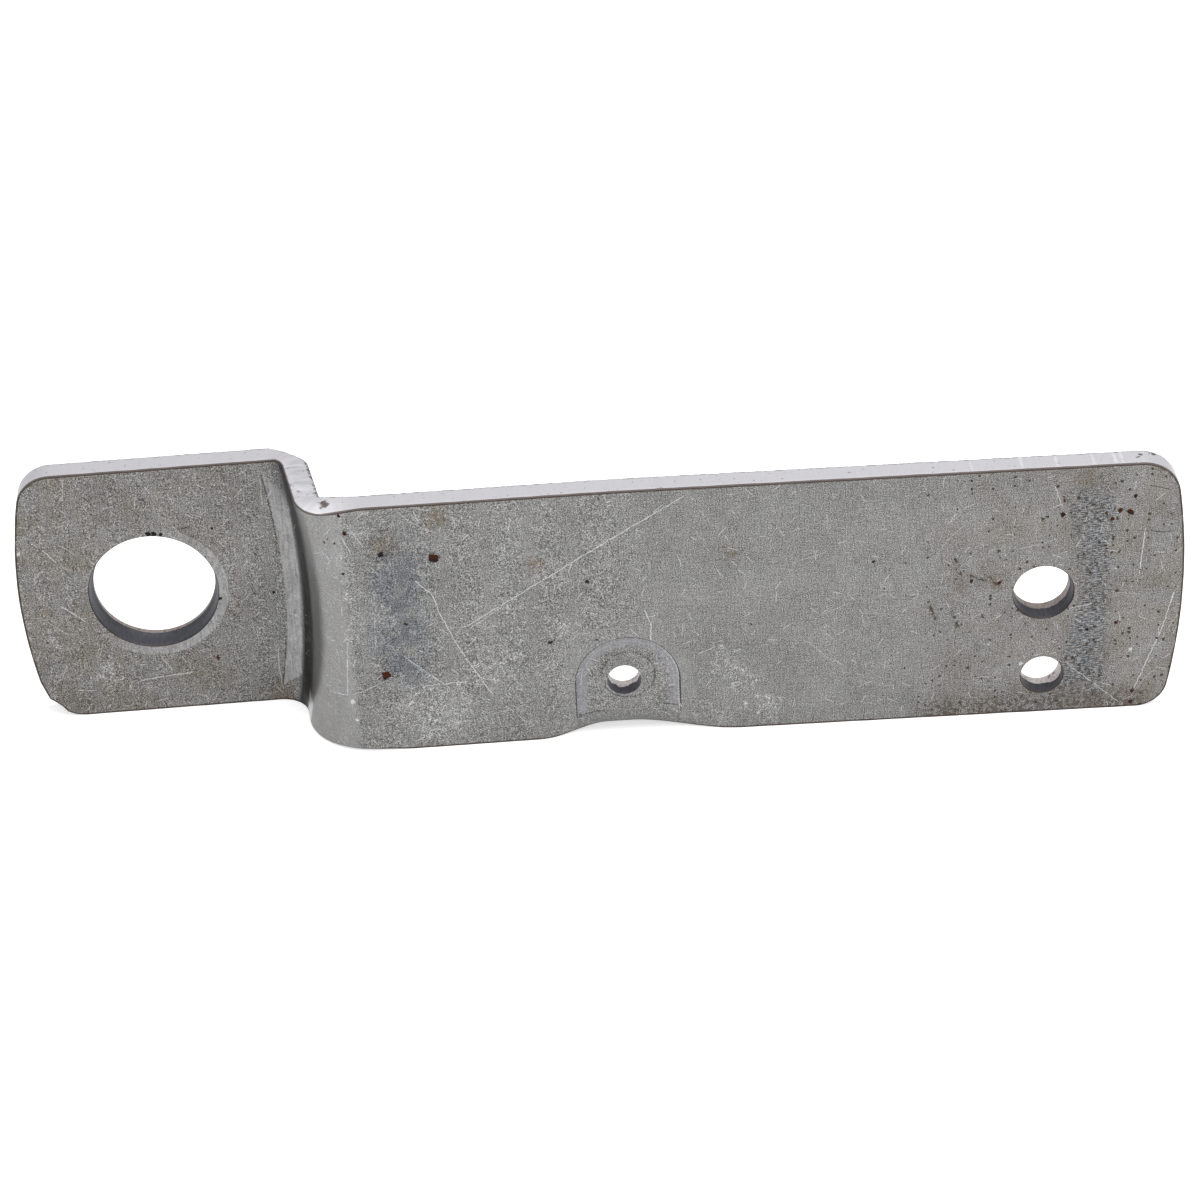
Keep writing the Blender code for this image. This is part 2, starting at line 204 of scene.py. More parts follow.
# Camera, fitted to the outline of the bracket in the picture: place from the lug line and the front
CAMERA_PLACE = Vector((-0.00903, -0.4962, 0.3434))
CAMERA_YAW = -0.013
CAMERA_PITCH = -0.5649
CAMERA_ROLL = 0.0473
CAMERA_LENS = 100.27
CAMERA_SENSOR = 36.0

# Lamps and floor
KEY_PLACE = (0.15, -0.12, 0.85)
KEY_SIZE = 0.7
FILL_PLACE = (0.5, -0.8, 0.5)
FILL_SIZE = 0.6
FLOOR_GREY = 0.8
FLOOR_GLOW = 0.45


def mount_place(name):
    """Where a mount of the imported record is."""
    mounts = frame["record"]["mounts"]
    return Vector(next(mount["pos_m"] for mount in mounts if mount["name"] == name))


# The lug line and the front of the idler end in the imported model's frame
ORIGIN = Vector((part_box("idler_pivot_bracket")[1].x - MAIN_REACH, mount_place("idler_seat").y, 0))

MM = 1000.0


# Properties


def length(name, description, default):
    """A size that a user can set."""
    return FloatProperty(
        name=name, description=description, default=default, min=0, unit="LENGTH", precision=5
    )


def power(name, description, default):
    """A lamp's power."""
    return FloatProperty(name=name, description=description, default=default, unit="POWER")


def colour(name, description, default):
    """A colour that a user can set."""
    return FloatVectorProperty(
        name=name, description=description, default=default, size=3, min=0, max=1, subtype="COLOR"
    )


class BracketEdges(bpy.types.PropertyGroup):
    """How finely the bracket is cut, and how worn its edges are."""

    rollover: length("Rollover", "Radius that the shear leaves round the back of the outline", 0.0005)
    front_break: length("Front Break", "Width of the broken edge round the front of the outline", 0.0002)
    rim_dirt: length("Rim Dirt", "Width of the dirty line on the front inside the broken edge", 0.00026)
    unevenness: length("Unevenness", "How far the sheared edges wander", 0.00005)
    pitch: length("Pitch", "Distance between the lines of the mesh on the flat of the plate", 0.001)
    lug_pitch: length("Lug Pitch", "Distance between the lines of the mesh round the lug", 0.0005)


class BracketFinish(bpy.types.PropertyGroup):
    """Colours of the steel."""

    face: colour("Face", "Mill face of the strip", (0.179, 0.179, 0.1775))
    oxide: colour("Oxide", "Blue-grey oxide left on the mill face", (0.090, 0.096, 0.108))
    stain: colour("Stain", "Brown stain on the mill face", (0.125, 0.098, 0.066))
    # This colour is also laid as a painted highlight at the foot of the joggle's riser.
    fresh: colour("Fresh Metal", "Fresh metal in scratches and scuffs", (0.60, 0.60, 0.61))
    rubbed: colour("Rubbed", "Steel rubbed bright by the washer and the press", (0.262, 0.262, 0.265))
    satin: colour("Satin", "Steel that the press has rubbed smooth", (0.225, 0.225, 0.225))
    struck: colour("Struck", "Floor of the lug where the punch rubbed it", (0.215, 0.216, 0.232))
    # Painted shade: the joggle's riser, the bend beside it and the tab's top corner are darkened with this
    # colour.
    painted_riser_shade: colour("Shadowed Riser", "Dark riser of the joggle", (0.014, 0.0145, 0.016))
    cut_edge: colour("Cut Edge", "Sheared outline of the strip", (0.438, 0.431, 0.453))
    broken: colour("Broken Wall", "Torn front part of the hole walls", (0.060, 0.061, 0.071))
    land: colour("Land", "Smooth back part of the larger holes' walls", (0.26, 0.225, 0.215))
    bright_land: colour("Bright Land", "Smooth back part of the smaller holes' walls", (0.50, 0.465, 0.46))
    rust: colour("Rust", "Rust spots", (0.045, 0.012, 0.005))
    dirt: colour("Dirt", "Brown dirt along the edges", (0.040, 0.024, 0.015))
    black: colour("Black Specks", "Dark black specks", (0.010, 0.009, 0.010))


class StudioStage(bpy.types.PropertyGroup):
    """Floor and lights."""

    floor_size: length("Floor Size", "Width of the square floor", 6.0)
    key_power: power("Key Light", "Power of the lamp overhead", 9.0)
    fill_power: power("Fill Light", "Power of the lamp in front", 3.0)
    surround: FloatProperty(
        name="Surround",
        description="How bright the room round the object is",
        default=0.55,
        min=0,
        subtype="FACTOR",
    )


# Small sums


def ease(share):
    """Rises smoothly from 0 to 1 as the share does."""
    held = min(max(share, 0.0), 1.0)
    return held * held * (3 - 2 * held)


def blend(low, high, share):
    """A share of the way from low to high."""
    return low + (high - low) * share


def spaced(start, end, pitch):
    """Places from start to end, both left out, about one pitch apart."""
    steps = max(round((end - start) / pitch), 1)
    return [blend(start, end, i / steps) for i in range(1, steps)]


def turned(vector, angle):
    """A way in the plan, turned to the left."""
    return Matrix.Rotation(angle, 2) @ vector


def angle_of(vector):
    """The angle of a way in the plan, from X."""
    return atan2(vector.y, vector.x)


def meeting_point(start, way, other_start, other_way):
    """Where two straight lines of the plan cross."""
    share = (other_start - start).cross(other_way) / way.cross(other_way)
    return start + way * share


# The flat blank: X along the strip, Y up it, the back at Z 0 and the front at its thickness


def corner_centre(end_centre, end_radius, radius, height, side):
    """The centre of a rounded corner at this height that runs into the end's long arc."""
    reach = sqrt((end_radius - radius) ** 2 - (end_centre.y - height) ** 2)
    return Vector((end_centre.x + side * reach, height))


def swept(bm, vert, centre, angle, steps):
    """Sweeps a vertex round a centre in the plan and returns the last one."""
    made = bmesh.ops.spin(bm, geom=[vert], cent=(*centre, 0), axis=(0, 0, 1), angle=angle, steps=steps)
    return next(item for item in made["geom_last"] if isinstance(item, bmesh.types.BMVert))


def drawn_to(bm, vert, place):
    """Draws a straight edge from a vertex to a place and returns the new vertex."""
    end = bm.verts.new((*place, 0))
    bm.edges.new((vert, end))
    return end


def fill_and_raise(bm, height):
    """Fills a closed outline at height 0 and raises it into a solid."""
    bmesh.ops.contextual_create(bm, geom=bm.edges[:])
    made = bmesh.ops.extrude_face_region(bm, geom=bm.faces[:])
    raised = [item for item in made["geom"] if isinstance(item, bmesh.types.BMVert)]
    bmesh.ops.translate(bm, verts=raised, vec=(0, 0, height))


def draw_main_end(bm):
    """The idler end's outline, from the lower edge to the upper one."""
    centre = Vector((MAIN_REACH - MAIN_END_RADIUS, MIDDLE + MAIN_END_RISE))
    low = corner_centre(centre, MAIN_END_RADIUS, MAIN_LOW_CORNER_RADIUS, MAIN_LOW_CORNER_RADIUS, 1)
    high_place = HEIGHT - MAIN_TOP_CORNER_RADIUS
    high = corner_centre(centre, MAIN_END_RADIUS, MAIN_TOP_CORNER_RADIUS, high_place, 1)
    low_angle = angle_of(low - centre)
    high_angle = angle_of(high - centre)
    first = bm.verts.new((low.x, 0, 0))
    vert = swept(bm, first, low, low_angle + pi / 2, CORNER_STEPS)
    vert = swept(bm, vert, centre, high_angle - low_angle, END_STEPS)
    return first, swept(bm, vert, high, pi / 2 - high_angle, CORNER_STEPS)


def draw_tab_end(bm, vert, pivot):
    """The pivot tab's outline, from the upper edge to the lower one."""
    centre = Vector((pivot - TAB_REACH + TAB_END_RADIUS, MIDDLE))
    high = corner_centre(centre, TAB_END_RADIUS, TAB_CORNER_RADIUS, HEIGHT - TAB_CORNER_RADIUS, -1)
    high_angle = angle_of(high - centre)
    low_drop = centre.y - TAB_NICK_TOP
    low_angle = 2 * pi - atan2(low_drop, -sqrt(TAB_END_RADIUS**2 - low_drop**2))
    vert = drawn_to(bm, vert, (high.x, HEIGHT))
    vert = swept(bm, vert, high, high_angle - pi / 2, CORNER_STEPS)
    vert = swept(bm, vert, centre, low_angle - high_angle, END_STEPS)
    for x, height in TAB_NICK:
        vert = drawn_to(bm, vert, (pivot + x, height))
    return vert


def round_rim(bm, side, radius, steps):
    """Rounds the rim of the strip's back (side -1) or front (side 1)."""
    cap = max(bm.faces, key=lambda face: face.calc_center_median().z * side)
    bmesh.ops.bevel(
        bm,
        geom=list(cap.edges),
        offset=radius,
        offset_type="OFFSET",
        segments=steps,
        profile=0.5,
        affect="EDGES",
        clamp_overlap=False,
        material=-1,
    )


def new_object(name, bm):
    """An object of a finished bmesh, which is freed."""
    bmesh.ops.recalc_face_normals(bm, faces=bm.faces)
    mesh = bpy.data.meshes.new(name)
    bm.to_mesh(mesh)
    bm.free()
    made = bpy.data.objects.new(name, mesh)
    bpy.context.scene.collection.objects.link(made)
    return made


def flat_strip(pivot, edges):
    """The flat blank with its rounded back rim and its broken front rim, still without holes."""
    bm = bmesh.new()
    first, vert = draw_main_end(bm)
    vert = draw_tab_end(bm, vert, pivot)
    bm.edges.new((vert, first))
    fill_and_raise(bm, THICKNESS)
    bmesh.ops.recalc_face_normals(bm, faces=bm.faces)
    round_rim(bm, -1, edges.rollover, ROLLOVER_STEPS)
    round_rim(bm, 1, edges.front_break, FRONT_BREAK_STEPS)
    front = max(bm.faces, key=lambda face: face.calc_center_median().z)
    bmesh.ops.inset_region(bm, faces=[front], thickness=edges.rim_dirt, use_even_offset=True)
    return new_object("strip", bm)


def land_height(hole, angle):
    """How far up from the back the smooth part of a hole's wall reaches, at an angle round it."""
    rough = noise.noise(Vector((cos(angle), sin(angle), hole.bore * MM)) * 2.3)
    fine = noise.noise(Vector((cos(angle), sin(angle), hole.bore * MM)) * 7)
    return THICKNESS * hole.land + hole.tilt * cos(angle - hole.tilt_way) + hole.tear * (rough * 2 + fine)


def punch(hole, x):
    """A turned cutter with the shape of a punched hole."""
    rim = hole.bore / 2 + HOLE_ROLLOVER
    land = THICKNESS * hole.land
    profile = [
        (0, THICKNESS + CUT_CLEARANCE),
        (hole.mouth / 2 + MOUTH_BREAK, THICKNESS + CUT_CLEARANCE),
        (hole.mouth / 2 + MOUTH_BREAK, THICKNESS),
        (hole.mouth / 2, THICKNESS - MOUTH_BREAK),
        (blend(hole.bore, hole.mouth, 0.55) / 2, blend(land, THICKNESS, 0.3)),
        (hole.bore / 2, land),
    ]
    for i in range(RIM_STEPS + 1):
        angle = pi + pi / 2 * i / RIM_STEPS
        profile.append((rim + HOLE_ROLLOVER * cos(angle), HOLE_ROLLOVER + HOLE_ROLLOVER * sin(angle)))
    profile += [(rim, -CUT_CLEARANCE), (0, -CUT_CLEARANCE)]
    bm = bmesh.new()
    chain = [bm.verts.new((radius, 0, z)) for radius, z in profile]
    for vert, other in zip(chain, chain[1:]):
        bm.edges.new((vert, other))
    bmesh.ops.spin(
        bm,
        geom=bm.verts[:] + bm.edges[:],
        cent=(0, 0, 0),
        axis=(0, 0, 1),
        angle=2 * pi,
        steps=hole.steps,
        use_merge=True,
    )
    bmesh.ops.remove_doubles(bm, verts=bm.verts, dist=WELD)
    for vert in bm.verts:
        if abs(vert.co.z - land) < WELD:
            vert.co.z = land_height(hole, atan2(vert.co.y, vert.co.x))
    bmesh.ops.translate(bm, verts=bm.verts, vec=(x, hole.height, 0))
    return new_object("punch_" + hole.name, bm)


def lip_share(along, height):
    """How far the lip is pressed back at a point of the plate, from 0 to 1."""
    across = ease((along - LIP_LEFT) / LIP_LEFT_RUN) * ease((LIP_RIGHT - along) / LIP_RIGHT_RUN)
    return across * max(1 - height / LIP_HEIGHT, 0) ** 2


def recess_punch():
    """The D-shaped punch over the lug. Its floor runs with the lip, which the press then takes back."""
    bm = bmesh.new()
    left = RECESS_X - RECESS_RADIUS
    right = RECESS_X + RECESS_RADIUS
    low = -RECESS_RADIUS
    start = bm.verts.new((right, low, 0))
    vert = drawn_to(bm, start, (right, RECESS_CENTRE_HEIGHT))
    vert = swept(bm, vert, (RECESS_X, RECESS_CENTRE_HEIGHT), pi, RECESS_STEPS)
    vert = drawn_to(bm, vert, (left, low))
    bm.edges.new((vert, start))
    fill_and_raise(bm, THICKNESS + CUT_CLEARANCE)
    floor = min(bm.faces, key=lambda face: face.calc_center_median().z)
    lines = {}
    inset = 0.0
    for distance, rise in RECESS_LINES:
        bmesh.ops.inset_region(bm, faces=[floor], thickness=distance - inset, use_even_offset=True)
        inset = distance
        for vert in floor.verts:
            lines[vert] = rise
    bm.normal_update()
    for vert in bm.verts:
        if vert.co.z < WELD:
            vert.co.z = THICKNESS - RECESS_DEPTH + lines.get(vert, 0.0)
    slice_faces(bm, 0, spaced(left, right, RECESS_PITCH))
    slice_faces(bm, 1, spaced(-CUT_CLEARANCE, LIP_HEIGHT + RECESS_PITCH, RECESS_PITCH))
    for vert in bm.verts:
        if vert.co.z < THICKNESS + CUT_CLEARANCE - WELD:
            vert.co.z += LIP_BACK * lip_share(vert.co.x, max(vert.co.y, 0))
    bmesh.ops.triangulate(bm, faces=bm.faces)
    return new_object("punch_recess", bm)


def cut(piece, cutter):
    """Cuts a piece with a cutter for good."""
    boolean = piece.modifiers.new(cutter.name, "BOOLEAN")
    boolean.operation = "DIFFERENCE"
    boolean.solver = "EXACT"
    boolean.object = cutter
    bpy.context.view_layer.update()
    mesh = bpy.data.meshes.new_from_object(piece.evaluated_get(bpy.context.evaluated_depsgraph_get()))
    piece.modifiers.clear()
    piece.data = mesh
    bpy.data.objects.remove(cutter)


# The joggle


def bend(corner, way_in, way_out, radius, steps):
    """Points of a bend that leads one straight run into the next at their corner."""
    turn = atan2(way_in.cross(way_out), way_in.dot(way_out))
    start = corner - way_in * (radius * tan(abs(turn) / 2))
    centre = start + turned(way_in, copysign(pi / 2, turn)) * radius
    return [centre + turned(start - centre, turn * i / steps) for i in range(steps + 1)]


def joggle_face(height, behind):
    """The plan of the joggle at one height, from main plate to tab: its front or its back."""
    low = (1 - height / HEIGHT) ** 1.5
    bow = 4 * height * (HEIGHT - height) / HEIGHT**2
    if behind:
        bow = sin(pi * height / HEIGHT) ** 2
    main_way = Vector((-cos(MAIN_SET_ANGLE), -sin(MAIN_SET_ANGLE)))
    tab_way = Vector((-cos(TAB_ANGLE), -sin(TAB_ANGLE)))
    slope = blend(RISER_TOP_ANGLE, RISER_LOW_ANGLE, low)
    riser_way = Vector((-cos(slope), sin(slope)))
    main_start = Vector((0, 0))
    tab_start = Vector((PIVOT_X, PIVOT_SETBACK))
    riser_start = Vector((blend(RISER_TOP_X, RISER_LOW_X, low) + RISER_BOW * bow, RISER_DEPTH))
    main_radius = blend(MAIN_BEND_TOP, MAIN_BEND_LOW, low)
    tab_radius = blend(TAB_BEND_TOP, TAB_BEND_LOW, low)
    if behind:
        main_start += turned(main_way, -pi / 2) * THICKNESS
        tab_start += turned(tab_way, -pi / 2) * THICKNESS
        riser_start += turned(riser_way, -pi / 2) * RISER_THICKNESS
        main_radius = max(main_radius - THICKNESS, SHARPEST_BEND)
        tab_radius += THICKNESS
    main_corner = meeting_point(main_start, main_way, riser_start, riser_way)
    tab_corner = meeting_point(riser_start, riser_way, tab_start, tab_way)
    main_bend = bend(main_corner, main_way, riser_way, main_radius, MAIN_BEND_SPAN * FINE)
    tab_bend = bend(tab_corner, riser_way, tab_way, tab_radius, TAB_BEND_SPAN * FINE)
    lead_steps = LEAD_SPAN * FINE
    riser_steps = RISER_SPAN * FINE
    lead = [main_bend[0] - main_way * DRAW_LEAD * (1 - i / lead_steps) for i in range(lead_steps)]
    riser = [main_bend[-1].lerp(tab_bend[0], i / riser_steps) for i in range(1, riser_steps)]
    return lead + main_bend + riser + tab_bend


@lru_cache(maxsize=None)
def joggle_faces(height):
    """The joggle's front and back at one height, worked out once."""
    return joggle_face(height, False), joggle_face(height, True)


def joggle_layout():
    """Where the joggle and the pivot lie along the flat blank, from the bend's length at mid height."""
    front, back = joggle_faces(MIDDLE)
    middle = [(near + far) / 2 for near, far in zip(front, back)]
    bend_length = sum((end - start).length for start, end in zip(middle, middle[1:]))
    main_side = -front[0].length
    tab_side = main_side - bend_length
    pivot = tab_side - (front[-1] - Vector((PIVOT_X, PIVOT_SETBACK))).length
    return {"main_side": main_side, "tab_side": tab_side, "pivot": pivot}


def at_station(points, station):
    """A point along a row of points, counted in spans."""
    index = min(int(station * FINE), len(points) - 2)
    return points[index].lerp(points[index + 1], station * FINE - index)


def bump(place, start, peak, end):
    """Rises smoothly from 0 at the start to 1 at the peak and falls back to 0 at the end."""
    return ease((place - start) / (peak - start)) if place < peak else ease((end - place) / (end - peak))


def edge_shift(station, height, depth):
    """How far a bend moves the strip's upper or lower edge."""
    riser_start = LEAD_SPAN + MAIN_BEND_SPAN
    in_main_bend = bump(station, 0, LEAD_SPAN + 1, riser_start + 1)
    in_tab_bend = bump(station, riser_start, riser_start + RISER_SPAN + TAB_BEND_SPAN / 2, JOGGLE_SPANS)
    outward = (2 * depth / THICKNESS - 1) * (in_main_bend - in_tab_bend)
    from_top = HEIGHT - height
    near = max(1 - min(height, from_top) / EDGE_DEPTH, 0) ** 2
    if height < from_top:
        return -near * LOW_EDGE_DRAW * min(outward, 0)
    return near * outward * (TOP_EDGE_SWELL if outward > 0 else TOP_EDGE_DRAW)


# The press


def joggled(joggle, along, height, depth):
    """Where the joggle's own stretch of the blank ends up."""
    station = (joggle["main_side"] - along) / (joggle["main_side"] - joggle["tab_side"]) * JOGGLE_SPANS
    front_face, back_face = joggle_faces(round(min(max(height, 0), HEIGHT), 6))
    place = at_station(front_face, station).lerp(at_station(back_face, station), depth / THICKNESS)
    return Vector((place.x, place.y, height + edge_shift(station, height, depth)))


def main_pressed(along, height, depth):
    """The main plate, which the press left slightly bent at the lug, and the lug's lip."""
    half = MAIN_SET_WIDTH / 2
    angle = MAIN_SET_ANGLE * min(max((half - along) / MAIN_SET_WIDTH, 0), 1)
    radius = MAIN_SET_WIDTH / MAIN_SET_ANGLE
    if along >= half:
        place = Vector((along, 0))
    elif along <= -half:
        place = Vector((along * cos(angle), along * sin(angle)))
    else:
        place = Vector((half - radius * sin(angle), -radius * (1 - cos(angle))))
    place += Vector((-sin(angle), cos(angle))) * depth
    lip = lip_share(along, height)
    return Vector((place.x, place.y + LIP_BACK * lip, height + LIP_RISE * lip))


def tab_pressed(joggle, along, height, depth):
    """The pivot tab, which stays flat and stands behind the main plate."""
    from_pivot = along - joggle["pivot"]
    x = PIVOT_X + from_pivot * cos(TAB_ANGLE) - depth * sin(TAB_ANGLE)
    y = PIVOT_SETBACK + from_pivot * sin(TAB_ANGLE) + depth * cos(TAB_ANGLE)
    return Vector((x, y, height))


def pressed(joggle, point):
    """Where a point of the flat blank ends up in the bracket."""
    depth = THICKNESS - point.z
    main_side = joggle["main_side"]
    tab_side = joggle["tab_side"]
    if point.x > main_side + WELD:
        near = max(1 - (point.x - main_side) / MAIN_EASE, 0)
        if near:
            start = joggled(joggle, main_side, point.y, depth)
            near *= start.x - main_pressed(main_side, point.y, depth).x
        return main_pressed(point.x + near, point.y, depth)
    if point.x < tab_side - WELD:
        near = max(1 - (tab_side - point.x) / TAB_EASE, 0)
        if near:
            start = joggled(joggle, tab_side, point.y, depth)
            near *= start.x - tab_pressed(joggle, tab_side, point.y, depth).x
        return tab_pressed(joggle, point.x + near, point.y, depth)
    return joggled(joggle, point.x, point.y, depth)


# The fine mesh


def slice_faces(bm, axis, places, inside=None):
    """Cuts the faces whose middle passes the test along planes square to an axis."""
    normal = Vector((0, 0, 0))
    normal[axis] = 1
    for place in places:
        if inside is None:
            geom = bm.verts[:] + bm.edges[:] + bm.faces[:]
        else:
            faces = [face for face in bm.faces if inside(face.calc_center_bounds())]
            verts = dict.fromkeys(vert for face in faces for vert in face.verts)
            edges = dict.fromkeys(edge for face in faces for edge in face.edges)
            geom = [*verts, *edges, *faces]
        bmesh.ops.bisect_plane(bm, geom=geom, dist=WELD, plane_co=normal * place, plane_no=normal)


def slice_blank(bm, joggle, edges):
    """Gives the blank the lines along which the press bends it, and a fine even mesh."""
    tab_side = joggle["tab_side"]
    main_side = joggle["main_side"]
    lug_top = RECESS_CENTRE_HEIGHT + RECESS_RADIUS + 2 * RECESS_PITCH
    joggle_pitch = (main_side - tab_side) / (JOGGLE_SPANS * FINE)
    slice_faces(bm, 0, [tab_side, main_side, LIP_LEFT, LIP_RIGHT])
    for start, end, pitch in (
        (joggle["pivot"] - TAB_REACH, tab_side, edges.pitch),
        (main_side, LIP_LEFT, edges.pitch),
        (LIP_LEFT, LIP_RIGHT, edges.lug_pitch),
        (LIP_RIGHT, MAIN_REACH, edges.pitch),
        (tab_side, main_side, joggle_pitch),
    ):
        slice_faces(bm, 0, spaced(start, end, pitch))
    slice_faces(bm, 1, spaced(0, HEIGHT, edges.pitch))
    slice_faces(bm, 2, spaced(0, THICKNESS, THICKNESS / WALL_ROWS))
    lug_rows = spaced(0, lug_top, edges.lug_pitch)
    slice_faces(bm, 1, lug_rows, lambda middle: LIP_LEFT < middle.x < LIP_RIGHT and middle.y < lug_top)


def surface_kind(joggle, face):
    """0 on the strip's faces, 1 on its sheared outline, 2 on a large hole's wall and 3 on a small one's."""
    middle = face.calc_center_bounds()
    for hole, x in holes_along(joggle):
        away = hypot(middle.x - x, middle.y - hole.height)
        if away < hole.mouth / 2 + MOUTH_BREAK and abs(face.normal.z) < 0.9:
            return 3.0 if hole.bore < SMALL_BORE else 2.0
    if abs(face.normal.z) > FLAT_FACE or middle.z > THICKNESS - RECESS_DEPTH * 1.5 and in_recess(middle):
        return 0.0
    return 1.0


def land_reach(joggle, point):
    """How far a point of a hole's wall lies inside the smooth land at its back, in metres."""
    for hole, x in holes_along(joggle):
        if hypot(point.x - x, point.y - hole.height) < hole.mouth / 2 + THICKNESS / 4:
            return land_height(hole, atan2(point.y - hole.height, point.x - x)) - point.z
    return 0.0


def in_recess(middle):
    """Whether a place of the blank's front lies in the recess over the lug."""
    x = middle.x - RECESS_X
    y = max(middle.y - RECESS_CENTRE_HEIGHT, 0)
    return hypot(x, y) < RECESS_RADIUS + 0.0002 and middle.y > 0.0003


def holes_along(joggle):
    """Each hole with its place along the blank."""
    return (
        (PIVOT_HOLE, joggle["pivot"]),
        (IDLER_HOLE, IDLER_HOLE.x),
        (PIN_HOLE, PIN_HOLE.x),
        (LUG_HOLE, LUG_HOLE.x),
    )


def wander(place, size, seed):
    """A smooth chance offset of about one size."""
    return noise.noise_vector(place / size + Vector((seed, seed * 0.37, seed * 0.71)))


def roughen_outline(walls, unevenness):
    """Lets the sheared outline wander a little, the same way each time."""
    noise.seed_set(WANDER_SEED)
    for vert in {vert for face in walls for vert in face.verts}:
        place = vert.co.copy()
        place.z *= SHEAR_DRAG
        shift = wander(place, LONG_WANDER, 3) + wander(place, SHORT_WANDER, 7) / 2
        shift.z = 0
        vert.co += shift * unevenness


def bracket_mesh(strip, joggle, edges):
    """The fine mesh of the pressed bracket, with each point's place in the flat blank kept on it."""
    bm = bmesh.new()
    bm.from_mesh(strip.data)
    bmesh.ops.remove_doubles(bm, verts=bm.verts, dist=WELD)
    slice_blank(bm, joggle, edges)
    bm.normal_update()
    kind = bm.faces.layers.float.new("kind")
    blank_place = bm.verts.layers.float_vector.new("blank")
    land = bm.verts.layers.float.new("land")
    rim = bm.verts.layers.float.new("rim")
    walls = []
    for face in bm.faces:
        face[kind] = surface_kind(joggle, face)
        if face[kind] == 1.0:
            walls.append(face)
    roughen_outline(walls, edges.unevenness)
    for vert in bm.verts:
        vert[blank_place] = (vert.co.x, vert.co.y, THICKNESS - vert.co.z)
        vert[land] = land_reach(joggle, vert.co) * MM
        kinds = {face[kind] for face in vert.link_faces}
        vert[rim] = float({0.0, 1.0} <= kinds)
        vert.co = pressed(joggle, vert.co)
    bmesh.ops.translate(bm, verts=bm.verts, vec=ORIGIN)
    for face in bm.faces:
        face.material_index = stretch_index(face.calc_center_bounds().x)
    mesh = bpy.data.meshes.new("pressed_steel_bracket")
    bm.to_mesh(mesh)
    bm.free()
    return mesh


# The steel's nodes


